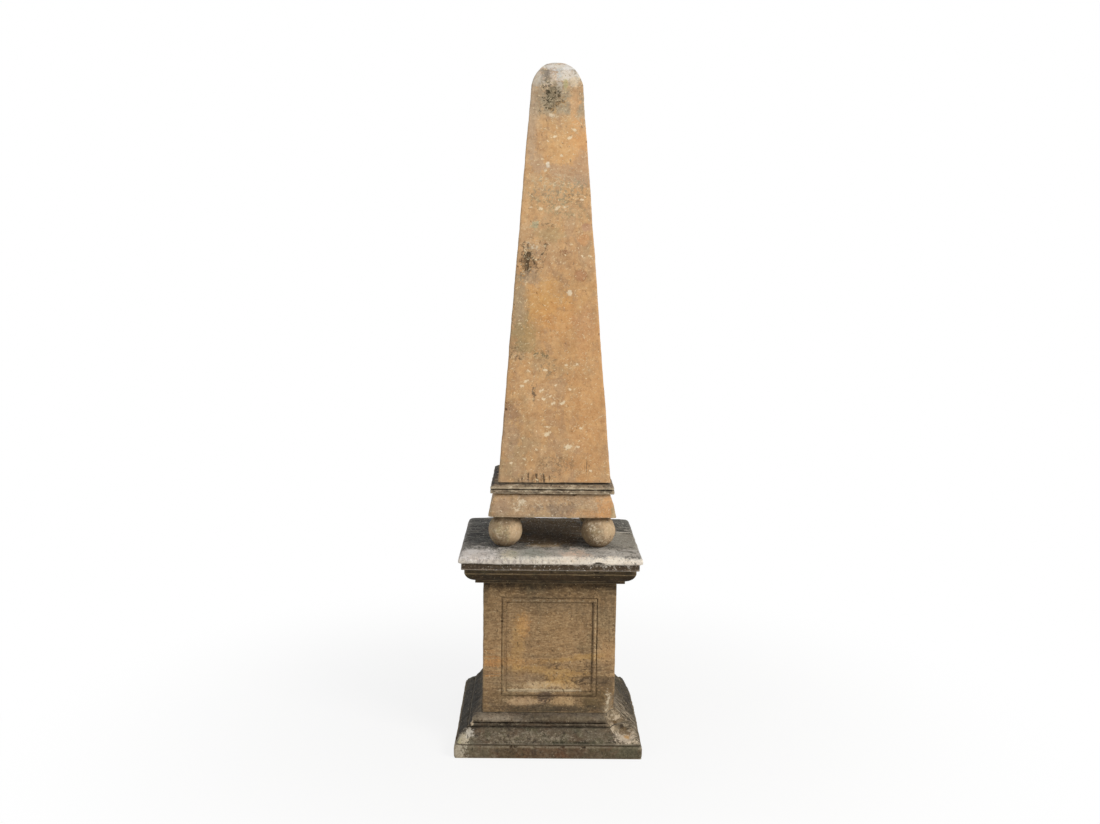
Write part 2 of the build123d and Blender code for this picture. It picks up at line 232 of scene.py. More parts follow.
@dataclass(frozen=True)
class Break:
    """Lump that has come off a stone: a rough ellipsoid."""

    centre: Triple
    reach: Triple
    rough: float = 0.12
    turn: Triple = (0.0, 0.0, 0.0)
    detail: int = 3


class Stone:
    """One stone while it is worked: a bmesh that is lofted, roughened, worn and broken."""

    def __init__(self, name: str, seed: int) -> None:
        """Start an empty stone.

        Args:
            name: Name of the finished piece.
            seed: Number that makes its wear its own.
        """
        self.name = name
        self.mesh = bmesh.new()
        self.flats: list[Ring] = []
        self.drift = Vector((seed * 7.31, seed * 3.17, seed * 5.03))

    def loft(self, rings: Sequence[Ring], corner: float, columns: int, rounds: int = 3) -> None:
        """Raise a square stone through its rings.

        Args:
            rings: Outline from the under bed to the top bed.
            corner: Radius of the upright arrises in the first ring.
            columns: Number of parts that each side is cut into.
            rounds: Number of parts of each rounded corner.
        """
        first = rings[0]
        spread = Matrix.Diagonal((first.width * math.sqrt(2), first.depth * math.sqrt(2), 1.0, 1.0))
        lift = Matrix.Translation((0.0, 0.0, first.level))
        bmesh.ops.create_circle(
            self.mesh,
            cap_ends=True,
            segments=4,
            radius=1.0,
            matrix=lift @ spread @ Matrix.Rotation(SQUARE_TURN, 4, "Z"),
        )
        bmesh.ops.bevel(
            self.mesh,
            geom=list(self.mesh.verts),
            offset=corner,
            offset_type="OFFSET",
            segments=rounds,
            profile=0.5,
            affect="VERTICES",
            material=-1,
        )
        bmesh.ops.delete(self.mesh, geom=list(self.mesh.faces), context="FACES_ONLY")
        sides = [edge for edge in self.mesh.edges if edge.calc_length() > first.width]
        bmesh.ops.subdivide_edges(self.mesh, edges=sides, cuts=columns - 1)
        ring = list(self.mesh.edges)
        for before, after in zip(rings, rings[1:]):
            made = bmesh.ops.extrude_edge_only(self.mesh, edges=ring)["geom"]
            verts = [part for part in made if isinstance(part, bmesh.types.BMVert)]
            edges = [part for part in made if isinstance(part, bmesh.types.BMEdge)]
            ring = [edge for edge in edges if edge.is_boundary]
            growth = (after.width / before.width, after.depth / before.depth, 1.0)
            bmesh.ops.scale(self.mesh, vec=growth, verts=verts)
            rise = (0.0, 0.0, after.level - before.level)
            bmesh.ops.translate(self.mesh, vec=rise, verts=verts)
        self.close()

    def close(self) -> None:
        """Cap what is open and point every face outwards."""
        rims = [edge for edge in self.mesh.edges if edge.is_boundary]
        if rims:
            bmesh.ops.holes_fill(self.mesh, edges=rims, sides=0)
        bmesh.ops.recalc_face_normals(self.mesh, faces=list(self.mesh.faces))
        if self.mesh.calc_volume(signed=True) < 0.0:
            bmesh.ops.reverse_faces(self.mesh, faces=list(self.mesh.faces))

    def move(self, offset: Vector) -> None:
        """Move the whole stone."""
        bmesh.ops.translate(self.mesh, vec=offset, verts=list(self.mesh.verts))

    def slice_off(self, point: Vector, way: Vector) -> None:
        """Cut off what lies beyond a plane and close the cut.

        Args:
            point: A point of the plane.
            way: Its direction, out of the stone.
        """
        bmesh.ops.bisect_plane(
            self.mesh,
            geom=[*self.mesh.verts, *self.mesh.edges, *self.mesh.faces],
            plane_co=point,
            plane_no=way,
            clear_outer=True,
        )
        self.close()

    def rub(self, verts: list[bmesh.types.BMVert]) -> None:
        """Bring vertices halfway to the middle of their neighbours."""
        bmesh.ops.smooth_vert(
            self.mesh, verts=verts, factor=0.5, use_axis_x=True, use_axis_y=True, use_axis_z=True
        )

    def trim(self, point: Vector, normal: Vector, start: float) -> None:
        """Bring what lies beyond a plane back onto it.

        Args:
            point: A point of the plane.
            normal: Its direction, out of the stone.
            start: How far to the right the trimming starts.
        """
        way = normal.normalized()
        for vert in self.mesh.verts:
            beyond = (vert.co - point).dot(way)
            if beyond > 0.0 and vert.co.x > start:
                vert.co -= way * beyond * min(1.0, (vert.co.x - start) / TRIM_FADE)

    def keep_flat(self, ring: Ring) -> None:
        """Keep what lies inside a ring, at its level, as it is."""
        self.flats.append(ring)

    def held(self, vert: bmesh.types.BMVert) -> bool:
        """Whether a vertex lies in a bed that stays flat."""
        return any(
            abs(vert.co.z - ring.level) < HOLD_REACH
            and abs(vert.co.x) < ring.width + HOLD_REACH
            and abs(vert.co.y) < ring.depth + HOLD_REACH
            for ring in self.flats
        )

    def roughen(self, relief: Relief, roughs: Iterable[Rough] = ()) -> None:
        """Push the faces in and out along their normals.

        Args:
            relief: How uneven the faces are.
            roughs: Parts that are rougher than the rest.
        """
        self.mesh.normal_update()
        parts = list(roughs)
        moves = []
        for vert in self.mesh.verts:
            if self.held(vert):
                continue
            height = relief.height(vert.co + self.drift)
            height += sum(part.height(vert.co, self.drift) for part in parts)
            moves.append((vert, vert.normal * height))
        for vert, move in moves:
            vert.co += move

    def wear(self, passes: int, cover: float, size: float) -> None:
        """Round the arrises, more in some places than in others.

        Args:
            passes: Number of times that the arrises are rubbed.
            cover: Share of the arrises that each pass reaches.
            size: Length of the places that are worn more.
        """
        arrises = {
            vert
            for edge in self.mesh.edges
            if len(edge.link_faces) == 2 and edge.is_convex and edge.calc_face_angle(0.0) > ARRIS_ANGLE
            for vert in edge.verts
            if not self.held(vert)
        }
        worn = list(arrises)
        for turn in range(passes):
            shift = self.drift + Vector((0.0, 0.0, turn * 0.37))
            chosen = [
                vert for vert in worn if 0.5 + 0.5 * noise.noise(vert.co / size + shift) < cover
            ]
            if chosen:
                self.rub(chosen)

    def finish(self, material: bpy.types.Material) -> bpy.types.Object:
        """Turn the stone into an object of the scene.

        Args:
            material: What it is dressed in.

        Returns:
            The object, at the origin, its place in its mesh.
        """
        data = mesh_data(self.name, self.mesh)
        data.materials.append(material)
        shade(data)
        return linked(self.name, data)


def shade(data: bpy.types.Mesh) -> None:
    """Shade a mesh smoothly between its sharp arrises."""
    data.shade_smooth()
    data.set_sharp_from_angle(angle=SHARP_ANGLE)


def lump(mesh: bmesh.types.BMesh, loss: Break, seed: int) -> None:
    """Add one rough ellipsoid to a mesh of cutters.

    Args:
        mesh: The cutters so far.
        loss: Where the ellipsoid is and how rough.
        seed: Number that makes its shape its own.
    """
    place = Matrix.Translation(loss.centre) @ Euler(loss.turn).to_matrix().to_4x4()
    place = place @ Matrix.Diagonal((*loss.reach, 1.0))
    made = bmesh.ops.create_icosphere(mesh, subdivisions=loss.detail, radius=1.0)
    drift = Vector((seed * 1.7, seed * 2.9, seed * 0.7))
    for vert in made["verts"]:
        swell = noise.fractal(vert.co * 1.6 + drift, 0.9, 2.1, 5)
        vert.co *= 1.0 + loss.rough * swell
    bmesh.ops.transform(mesh, matrix=place, verts=made["verts"])


def knock_off(piece: bpy.types.Object, losses: Sequence[Break], seed: int) -> None:
    """Take rough lumps out of a piece.

    Args:
        piece: The stone.
        losses: What has come off; lumps that overlap are taken off one after the other.
        seed: Number that makes their shapes their own.
    """
    waiting = list(enumerate(losses))
    while waiting:
        batch: list[Break] = []
        later = []
        mesh = bmesh.new()
        for number, loss in waiting:
            near = any(
                (Vector(loss.centre) - Vector(other.centre)).length
                < 1.3 * (max(loss.reach) + max(other.reach))
                for other in batch
            )
            if near:
                later.append((number, loss))
            else:
                batch.append(loss)
                lump(mesh, loss, seed + number)
        waiting = later
        cut_with(piece, linked("lumps", mesh_data("lumps", mesh)), "DIFFERENCE")


def cut_with(piece: bpy.types.Object, tool: bpy.types.Object, operation: str) -> None:
    """Join a piece with a closed tool by one boolean, keep the result and drop the tool."""
    modifier = piece.modifiers.new("cut", "BOOLEAN")
    modifier.operation = operation
    modifier.solver = "MANIFOLD"
    modifier.object = tool
    graph = bpy.context.evaluated_depsgraph_get()
    done = bpy.data.meshes.new_from_object(piece.evaluated_get(graph), depsgraph=graph)
    piece.modifiers.clear()
    before = piece.data
    material = before.materials[0]
    done.polygons.foreach_set("material_index", [0] * len(done.polygons))
    done.materials.clear()
    done.materials.append(material)
    piece.data = done
    bpy.data.meshes.remove(before)
    spare = tool.data
    bpy.data.objects.remove(tool)
    bpy.data.meshes.remove(spare)
    shade(piece.data)


def chip(
    piece: bpy.types.Object, count: int, sizes: tuple[float, float], seed: int, levels: tuple[float, float]
) -> bpy.types.Object:
    """Break small chips off the arrises of a piece.

    Args:
        piece: The stone.
        count: How many breaks.
        sizes: Smallest and largest radius.
        seed: Number that makes the choice its own.
        levels: Lowest and highest level where stone may be missing.

    Returns:
        The piece.
    """
    mesh = bmesh.new()
    mesh.from_mesh(piece.data)
    arrises = [
        edge
        for edge in mesh.edges
        if len(edge.link_faces) == 2
        and edge.is_convex
        and edge.calc_face_angle(0.0) > CHIP_ANGLE
        and levels[0] < edge.verts[0].co.z < levels[1]
    ]
    middles = [(edge.verts[0].co + edge.verts[1].co) / 2 for edge in arrises]
    places = KDTree(len(middles))
    for number, middle in enumerate(middles):
        places.insert(middle, number)
    places.balance()
    span = [(min(parts), max(parts)) for parts in zip(*middles)]
    draw = random.Random(seed)
    chips = []
    for _ in range(count):
        spot = Vector([draw.uniform(low, high) for low, high in span])
        middle, number, _ = places.find(spot)
        edge = arrises[number]
        size = draw.uniform(*sizes) * draw.uniform(0.6, 1.0)
        out = (edge.link_faces[0].normal + edge.link_faces[1].normal).normalized()
        centre = middle + out * size * draw.uniform(0.3, 0.62)
        reach = tuple(size * draw.uniform(*share) for share in CHIP_SHAPE)
        chips.append(Break(tuple(centre), reach, 0.2))
    mesh.free()
    knock_off(piece, chips, seed + 10)
    return piece


# ---------------------------------------------------------------- finishes


class Lie(Enum):
    """How a mark or a veil lies on the stone."""

    SOLID = "solid"
    SPECKS = "specks"
    DRIPS = "drips"
    BEDS = "beds"
    FIBRES = "fibres"
    VEINS = "veins"


class Facing(Enum):
    """Which faces a veil settles on."""

    ANY = "any"
    UP = "up"


# Ways of lying that many marks share: lie, ragged, sway, edge
EVEN = (Lie.SOLID, 0.8, 0.8, 0.4)
SOFT = (Lie.SOLID, 0.9, 0.9, 0.5)
FRAYED = (Lie.SOLID, 0.9, 0.9, 0.4)
BROAD = (Lie.SOLID, 0.6, 0.8, 0.4)
NEAT = (Lie.SOLID, 0.3, 0.3, 0.3)
ROUND = (Lie.SOLID, 0.7, 0.7, 0.5)
LOOSE = (Lie.SOLID, 0.9, 0.9)
VEINED = (Lie.VEINS, 0.8, 0.8, 0.4)


@dataclass(frozen=True)
class Mark:
    """One stain, lichen, worn place, painted highlight or painted shade: an ellipsoid with a ragged edge,
    in millimetres.
    """

    centre: Triple
    reach: Triple
    colour: Rgb
    strength: float = 0.7
    lie: Lie = Lie.SOLID
    ragged: float = 0.8
    sway: float = 0.9
    edge: float = 0.25
    tilt: float = 0.0


@dataclass(frozen=True)
class Spatter:
    """Small flecks of one colour, one size in millimetres and one slant, each at its own place."""

    spots: tuple[Triple, ...]
    size: float
    tilt: float = 0.0
    length: float = 1.8
    colour: Rgb = (224, 204, 170)
    strength: float = 0.85


@dataclass(frozen=True)
class Veil:
    """One tone that is spread in clouds over a stone; size, levels and fade in millimetres."""

    colour: Rgb
    size: float
    cover: float
    strength: float
    stretch: Triple = WHOLE
    edge: float = 0.07
    facing: Facing = Facing.ANY
    levels: tuple[float, float] | None = None
    fade: float = 20
    rough: float = 0.6


class Graph:
    """A material's node tree, with short calls for the nodes that the finishes use."""

    def __init__(self, name: str) -> None:
        """Start an empty tree that reads the piece's own coordinates."""
        self.material = bpy.data.materials.new(name)
        self.material.use_nodes = True
        self.tree = self.material.node_tree
        self.tree.nodes.clear()
        self.place = self.add("ShaderNodeTexCoord").outputs["Object"]
        self.drawn = 0

    def add(self, kind: str, **settings: object) -> bpy.types.Node:
        """Add a node and set its options."""
        node = self.tree.nodes.new(kind)
        for key, value in settings.items():
            setattr(node, key, value)
        return node

    def feed(self, target: Socket, value: Value | Paint | Triple) -> None:
        """Link a socket, or write a number or colour into it."""
        if isinstance(value, bpy.types.NodeSocket):
            self.tree.links.new(value, target)
        else:
            target.default_value = value

    def calc(self, operation: str, *values: Value) -> Socket:
        """One sum of numbers."""
        node = self.add("ShaderNodeMath", operation=operation)
        for target, value in zip(node.inputs, values):
            self.feed(target, value)
        return node.outputs[0]

    def times(self, first: Value, second: Value) -> Socket:
        """Product of two numbers."""
        return self.calc("MULTIPLY", first, second)

    def span(self, value: Value, low: float, high: float, start: float = 0.0, end: float = 1.0) -> Socket:
        """Smooth step from one number to another.

        Args:
            value: What is looked at.
            low: Where the step starts.
            high: Where the step ends; below low, the step goes down.
            start: Result before the step.
            end: Result after the step.

        Returns:
            The result.
        """
        node = self.add("ShaderNodeMapRange", interpolation_type="SMOOTHSTEP")
        for target, number in zip(node.inputs, (value, low, high, start, end)):
            self.feed(target, number)
        return node.outputs["Result"]

    def placed(self, centre: Triple, reach: Triple, tilt: float = 0.0) -> Socket:
        """Coordinates from a centre, in units of a reach, tilted about Y by degrees."""
        node = self.add("ShaderNodeMapping", vector_type="TEXTURE")
        self.feed(node.inputs["Vector"], self.place)
        node.inputs["Location"].default_value = centre
        node.inputs["Rotation"].default_value = (0.0, math.radians(tilt), 0.0)
        node.inputs["Scale"].default_value = reach
        return node.outputs["Vector"]

    def clouds(
        self,
        size: float,
        detail: float = 4.0,
        rough: float = 0.6,
        stretch: Triple = WHOLE,
        twist: float = 0.0,
        tilt: float = 0.0,
    ) -> Socket:
        """Cloudy field from 0 to 1; every call gets clouds of its own.

        Args:
            size: Size of the clouds in metres.
            detail: How many finer layers they have.
            rough: How strong the finer layers are.
            stretch: How much longer they are along each axis.
            twist: How much they are twisted.
            tilt: Turn of the stretch about Y in degrees.

        Returns:
            The field.
        """
        self.drawn += 1
        shift = (self.drawn * 0.713, self.drawn * 1.371, self.drawn * 0.937)
        place = self.placed(shift, stretch, tilt)
        node = self.add("ShaderNodeTexNoise", noise_dimensions="3D")
        self.feed(node.inputs["Vector"], place)
        node.inputs["Scale"].default_value = 1.0 / size
        node.inputs["Detail"].default_value = detail
        node.inputs["Roughness"].default_value = rough
        node.inputs["Distortion"].default_value = twist
        return node.outputs["Fac"]

    def stirred(self, size: float, amount: float) -> Socket:
        """The piece's coordinates, pushed about by a noise."""
        node = self.add("ShaderNodeTexNoise", noise_dimensions="3D")
        self.feed(node.inputs["Vector"], self.place)
        node.inputs["Scale"].default_value = 1.0 / size
        node.inputs["Detail"].default_value = 2.0
        centred = self.add("ShaderNodeVectorMath", operation="MULTIPLY_ADD")
        self.feed(centred.inputs[0], node.outputs["Color"])
        centred.inputs[1].default_value = (amount, amount, amount)
        self.feed(centred.inputs[2], self.place)
        return centred.outputs[0]

    def flecks(self, size: float, radius: float, share: float) -> Socket:
        """Small irregular spots, in a share of the cells of a given size.

        Args:
            size: Size of the cells.
            radius: Radius of the largest spots, as a part of a cell.
            share: Share of the cells that hold a spot.

        Returns:
            1 in a spot and 0 outside it.
        """
        node = self.add("ShaderNodeTexVoronoi", voronoi_dimensions="3D", feature="F1")
        self.feed(node.inputs["Vector"], self.stirred(size * 0.45, size * 0.55))
        node.inputs["Scale"].default_value = 1.0 / size
        split = self.add("ShaderNodeSeparateColor")
        self.feed(split.inputs[0], node.outputs["Color"])
        limit = self.span(split.outputs[0], 1.0 - share, 1.0, 0.0, radius)
        inside = self.calc("SUBTRACT", limit, node.outputs["Distance"])
        return self.span(inside, 0.0, radius * 0.35)

    def strokes(self, size: float, cover: float, tilt: float) -> Socket:
        """Small irregular patches, longer than wide.

        Args:
            size: Width of the patches.
            cover: Share of the stone that they cover.
            tilt: Which way they point, in degrees about Y.

        Returns:
            1 in a patch and 0 outside it.
        """
        field = self.clouds(size, 2.5, 0.55, (1.9, 1.9, 1.0), 0.6, tilt)
        limit = 0.5 + 0.1 * (math.sqrt(-2.0 * math.log(cover)) - 0.75)
        return self.span(field, limit - 0.012, limit + 0.025)

    def ramp(self, value: Value, stops: Sequence[tuple[float, Colour]]) -> Socket:
        """Colour that changes along a number."""
        node = self.add("ShaderNodeValToRGB")
        node.color_ramp.interpolation = "LINEAR"
        elements = node.color_ramp.elements
        elements.remove(elements[1])
        elements[0].position = stops[0][0]
        elements[0].color = stops[0][1]
        for position, colour in stops[1:]:
            elements.new(position).color = colour
        self.feed(node.inputs[0], value)
        return node.outputs["Color"]

    def mix(self, share: Value, under: Paint, over: Paint, mode: str = "MIX") -> Socket:
        """Lay one colour over another."""
        node = self.add("ShaderNodeMix", data_type="RGBA", blend_type=mode, clamp_factor=True)
        self.feed(node.inputs[0], share)
        self.feed(node.inputs[6], under)
        self.feed(node.inputs[7], over)
        return node.outputs[2]

    def lay(self, share: Value, under: Paint, chart: Rgb) -> Socket:
        """Lay a paint chart colour over what is there."""
        return self.mix(share, under, tint(chart))

    def bump(self, height: Socket, strength: float, depth: float) -> Socket:
        """Normal that follows a height.

        Args:
            height: The height, in units of the depth.
            strength: How much the normal gives way, from 0 to 1.
            depth: Greatest height in metres.

        Returns:
            The normal.
        """
        node = self.add("ShaderNodeBump")
        node.inputs["Strength"].default_value = strength
        node.inputs["Distance"].default_value = depth
        self.feed(node.inputs["Height"], height)
        return node.outputs["Normal"]

    def output(self, colour: Paint, rough: Value, normal: Socket, shine: float) -> bpy.types.Material:
        """Wire the surface and return the finished material.

        Args:
            colour: Base colour.
            rough: Roughness.
            normal: Bumped normal.
            shine: Specular level, the same all over.

        Returns:
            The material.
        """
        surface = self.add("ShaderNodeBsdfPrincipled")
        self.feed(surface.inputs["Base Color"], colour)
        self.feed(surface.inputs["Roughness"], rough)
        surface.inputs["Specular IOR Level"].default_value = shine
        self.feed(surface.inputs["Normal"], normal)
        end = self.add("ShaderNodeOutputMaterial")
        self.feed(end.inputs["Surface"], surface.outputs[0])
        return self.material


# Clouds of the sandstones: size in metres, finer layers, their strength, stretch and twist
FINE_CLOUDS = (0.007, 6.0, 0.7)
MIDDLING_CLOUDS = (0.018, 4.0, 0.6)
BROAD_CLOUDS = (0.045, 5.0, 0.6)
BED_CLOUDS = (0.008, 5.0, 0.65, (18.0, 18.0, 1.0), 0.4)
RUN_CLOUDS = (0.011, 5.0, 0.65, (1.0, 1.0, 13.0))
FIBRE_CLOUDS = (0.010, 6.0, 0.72, (9.0, 1.0, 9.0), 0.5)
VEIN_CLOUDS = (0.034, 4.0, 0.55, (3.0, 3.0, 1.0), 0.4)
SPECK_CLOUDS = (0.011, 6.0, 0.76)
TONE_CLOUDS = (0.020, 8.0, 0.80)
GRIT_CLOUDS = (0.0055, 3.0, 0.70)
SAND_CLOUDS = (0.0017, 2.0, 0.5)
LARGE_MARK = 30  # reach in millimetres from which the broad clouds bend a mark's outline
BED_SHADE = (0.62, 0.50, 0.36, 1.0)
GREYS = ((0.34, (0.22, 0.21, 0.20, 1.0)), (0.5, (0.5, 0.5, 0.5, 1.0)), (0.66, (0.80, 0.79, 0.77, 1.0)))


@dataclass(frozen=True)
class Sandstone:
    """Weathered sandstone: ground by height, veils, bedding, flecks, specks, marks and relief.

    Heights of the ground and the sway of its borders are in millimetres.
    """

    name: str
    ground: tuple[tuple[float, Rgb], ...]
    veils: tuple[Veil, ...] = ()
    marks: tuple[Mark, ...] = ()
    spatters: tuple[Spatter, ...] = ()
    bedding: float = 0.15
    drips: float = 0.1
    drip_colour: Rgb = (96, 84, 68)
    mottle: float = 0.45
    grit: float = 0.35
    flecks: float = 0.25
    fleck_colour: Rgb = (220, 204, 178)
    specks: float = 0.2
    speck_colour: Rgb = (84, 74, 60)
    worn: float = 0.3
    worn_colour: Rgb = (196, 180, 154)
    # Darkening of creases and recesses, dirt together with painted shade, and its colour
    recess_dirt_and_shade: float = 0.5
    recess_dirt_and_shade_colour: Rgb = (58, 48, 38)
    sway: float = 30
    bump: float = 0.6

    def mask(self, graph: Graph, mark: Mark, fields: dict[Lie, Socket], clouds: Sequence[Socket]) -> Socket:
        """Share of a mark at each place.

        Args:
            graph: The tree that the mark goes into.
            mark: The mark.
            fields: Field for each way of lying.
            clouds: Fine, middling and broad clouds that fray and bend the outline.

        Returns:
            The share.
        """
        fine, middling, broad = clouds
        bend = broad if max(mark.reach[0], mark.reach[2]) > LARGE_MARK else middling
        centre, reach = ([length / METRE for length in parts] for parts in (mark.centre, mark.reach))
        place = graph.placed(centre, reach, mark.tilt)
        length = graph.add("ShaderNodeVectorMath", operation="LENGTH")
        graph.feed(length.inputs[0], place)
        apart = graph.calc("MULTIPLY_ADD", fine, mark.ragged, length.outputs["Value"])
        apart = graph.calc("MULTIPLY_ADD", bend, mark.sway, apart)
        middle = 1.0 + (mark.ragged + mark.sway) / 2
        share = graph.span(apart, middle + mark.edge, middle - mark.edge, 0.0, mark.strength)
        if mark.lie is Lie.SOLID:
            return share
        return graph.times(share, fields[mark.lie])

    def spattered(self, graph: Graph, spatter: Spatter, clouds: Sequence[Socket]) -> Socket:
        """Share of a spatter at each place.

        Args:
            graph: The tree that the spatter goes into.
            spatter: The spatter.
            clouds: Fine and middling clouds that fray its flecks.

        Returns:
            The share.
        """
        scale = (spatter.length, 10.0, 1.0)
        field = graph.placed((0.0, 0.0, 0.0), scale, spatter.tilt)
        turn = Matrix.Rotation(math.radians(-spatter.tilt), 3, "Y")
        nearest: Value = 1.0
        for spot in spatter.spots:
            apart = graph.add("ShaderNodeVectorMath", operation="DISTANCE")
            graph.feed(apart.inputs[0], field)
            apart.inputs[1].default_value = [part / unit for part, unit in zip(turn @ Vector(spot), scale)]
            nearest = graph.calc("MINIMUM", apart.outputs["Value"], nearest)
        size = spatter.size / METRE
        ragged, sway = 1.1 * size, 0.9 * size
        nearest = graph.calc("MULTIPLY_ADD", clouds[0], ragged, nearest)
        nearest = graph.calc("MULTIPLY_ADD", clouds[1], sway, nearest)
        rim = size + (ragged + sway) / 2
        return graph.span(nearest, rim * 1.12, rim * 0.88, 0.0, spatter.strength)

    def build(self) -> bpy.types.Material:
        """Make the material."""
        graph = Graph(self.name)
        fine = graph.clouds(*FINE_CLOUDS)
        broad = graph.clouds(*BROAD_CLOUDS)
        middling = graph.clouds(*MIDDLING_CLOUDS)
        beds = graph.clouds(*BED_CLOUDS)
        runs = graph.clouds(*RUN_CLOUDS)
        fibres = graph.clouds(*FIBRE_CLOUDS)
        veins = graph.calc("SUBTRACT", graph.clouds(*VEIN_CLOUDS), 0.5)
        frayed = [graph.span(field, 0.33, 0.67) for field in (fine, middling, broad)]
        fields = {
            Lie.SPECKS: graph.span(graph.clouds(*SPECK_CLOUDS), 0.49, 0.56),
            Lie.DRIPS: graph.span(runs, 0.46, 0.58),
            Lie.BEDS: graph.span(beds, 0.46, 0.57),
            Lie.FIBRES: graph.span(fibres, 0.46, 0.58),
            Lie.VEINS: graph.span(graph.calc("ABSOLUTE", veins), 0.030, 0.014),
        }
        split = graph.add("ShaderNodeSeparateXYZ")
        graph.feed(split.inputs[0], graph.place)
        height = split.outputs["Z"]
        geometry = graph.add("ShaderNodeNewGeometry")
        way = graph.add("ShaderNodeSeparateXYZ")
        graph.feed(way.inputs[0], geometry.outputs["Normal"])
        upward = graph.span(way.outputs["Z"], 0.3, 0.8)

        colour = self.ground_colour(graph, height, broad)
        for veil in self.veils:
            share = self.veil_share(graph, veil, height, upward)
            colour = graph.lay(share, colour, veil.colour)
        for mark in self.marks:
            colour = graph.lay(self.mask(graph, mark, fields, frayed), colour, mark.colour)
        for spatter in self.spatters:
            colour = graph.lay(self.spattered(graph, spatter, frayed), colour, spatter.colour)

        bedded = graph.span(beds, 0.40, 0.66, 0.0, self.bedding)
        colour = graph.mix(bedded, colour, BED_SHADE, "MULTIPLY")
        colour = graph.lay(graph.span(runs, 0.52, 0.68, 0.0, self.drips), colour, self.drip_colour)
        for clouds, strength in ((TONE_CLOUDS, self.mottle), (GRIT_CLOUDS, self.grit)):
            tone = graph.ramp(graph.clouds(*clouds), GREYS)
            colour = graph.mix(strength, colour, tone, "SOFT_LIGHT")
        small = graph.strokes(0.0045, 0.35 * self.flecks, -38.0)
        large = graph.strokes(0.0085, 0.10 * self.flecks, 24.0)
        cream = graph.calc("MAXIMUM", graph.times(small, 0.7), large)
        colour = graph.lay(graph.times(cream, 0.8), colour, self.fleck_colour)
        dark = graph.strokes(0.0060, 0.30 * self.specks, 62.0)
        colour = graph.lay(graph.times(dark, 0.6), colour, self.speck_colour)

        bend = geometry.outputs["Pointiness"]
        edge = graph.span(graph.calc("MULTIPLY_ADD", fine, 0.06, bend), 0.545, 0.60, 0.0, self.worn)
        colour = graph.lay(edge, colour, self.worn_colour)
        # Creases and recesses, found from pointiness, are darkened: dirt together with painted shade
        dark_recess_share = graph.span(graph.calc("MULTIPLY_ADD", fine, 0.05, bend), 0.508, 0.455, 0.0, self.recess_dirt_and_shade)
        colour = graph.lay(dark_recess_share, colour, self.recess_dirt_and_shade_colour)

        relief = graph.calc("MULTIPLY_ADD", fine, 0.6, graph.times(broad, 0.5))
        relief = graph.calc("MULTIPLY_ADD", beds, 0.9 * self.bedding, relief)
        relief = graph.calc("MULTIPLY_ADD", dark, -0.5, relief)
        relief = graph.calc("MULTIPLY_ADD", cream, 0.18, relief)
        relief = graph.calc("MULTIPLY_ADD", graph.clouds(*SAND_CLOUDS), 0.22, relief)
        normal = graph.bump(relief, self.bump, 0.004)
        rough = graph.span(fine, 0.3, 0.7, 0.80, 0.97)
        return graph.output(colour, rough, normal, 0.28)

    def ground_colour(self, graph: Graph, height: Socket, broad: Socket) -> Socket:
        """Ground tone by height, its borders swayed by broad clouds."""
        levels = [level / METRE for level, _ in self.ground]
        low, high = levels[0], levels[-1]
        sway = self.sway / METRE
        swayed = graph.calc("MULTIPLY_ADD", broad, sway, height)
        node = graph.add("ShaderNodeMapRange")
        ends = (swayed, low + sway / 2, high + sway / 2, 0.0, 1.0)
        for target, number in zip(node.inputs, ends):
            graph.feed(target, number)
        colours = [tint(chart) for _, chart in self.ground]
        stops = [((level - low) / (high - low), colour) for level, colour in zip(levels, colours)]
        return graph.ramp(node.outputs["Result"], stops)

    def veil_share(self, graph: Graph, veil: Veil, height: Socket, upward: Socket) -> Socket:
        """Share of a veil at each place.

        Args:
            graph: The tree that the veil goes into.
            veil: The veil.
            height: Height over the ground.
            upward: 1 on the faces that look up.

        Returns:
            The share.
        """
        limit = 0.5 + 0.30 * (0.5 - veil.cover)
        field = graph.clouds(veil.size / METRE, 6.0, veil.rough, veil.stretch)
        share = graph.span(field, limit - veil.edge, limit + veil.edge, 0.0, veil.strength)
        if veil.facing is Facing.UP:
            share = graph.times(share, upward)
        if veil.levels is not None:
            low, high = (level / METRE for level in veil.levels)
            fade = 2.0 * veil.fade / METRE
            swayed = graph.calc("MULTIPLY_ADD", field, fade, height)
            share = graph.times(share, graph.span(swayed, low, low + fade))
            share = graph.times(share, graph.span(swayed, high + fade, high))
        return share


@dataclass(frozen=True)
class LimeMortar:
    """Grey lime mortar with sand in it."""

    name: str = "lime_mortar"
    light: Rgb = (120, 110, 94)
    dark: Rgb = (62, 54, 44)
    grain: Rgb = (150, 140, 122)

    def build(self) -> bpy.types.Material:
        """Make the material."""
        graph = Graph(self.name)
        field = graph.clouds(0.02, 6.0, 0.7)
        colour = graph.ramp(field, ((0.35, tint(self.dark)), (0.65, tint(self.light))))
        sand = graph.flecks(0.004, 0.4, 0.5)
        colour = graph.lay(graph.times(sand, 0.5), colour, self.grain)
        normal = graph.bump(graph.calc("MULTIPLY_ADD", sand, 0.5, field), 0.7, 0.002)
        return graph.output(colour, graph.span(field, 0.3, 0.7, 0.85, 0.98), normal, 0.2)


@dataclass(frozen=True)
class WroughtIron:
    """Rusty wrought iron of the dowels and the spindle."""

    name: str = "wrought_iron"
    rust: tuple[tuple[float, Rgb], ...] = ((0.35, (48, 38, 33)), (0.5, (96, 56, 36)), (0.65, (140, 82, 44)))

    def build(self) -> bpy.types.Material:
        """Make the material."""
        graph = Graph(self.name)
        field = graph.clouds(0.012, 6.0, 0.65, (1.0, 1.0, 3.0))
        colour = graph.ramp(field, [(share, tint(chart)) for share, chart in self.rust])
        normal = graph.bump(field, 0.6, 0.001)
        return graph.output(colour, graph.span(field, 0.3, 0.7, 0.6, 0.9), normal, 0.4)


# ---------------------------------------------------------------- sub-assemblies


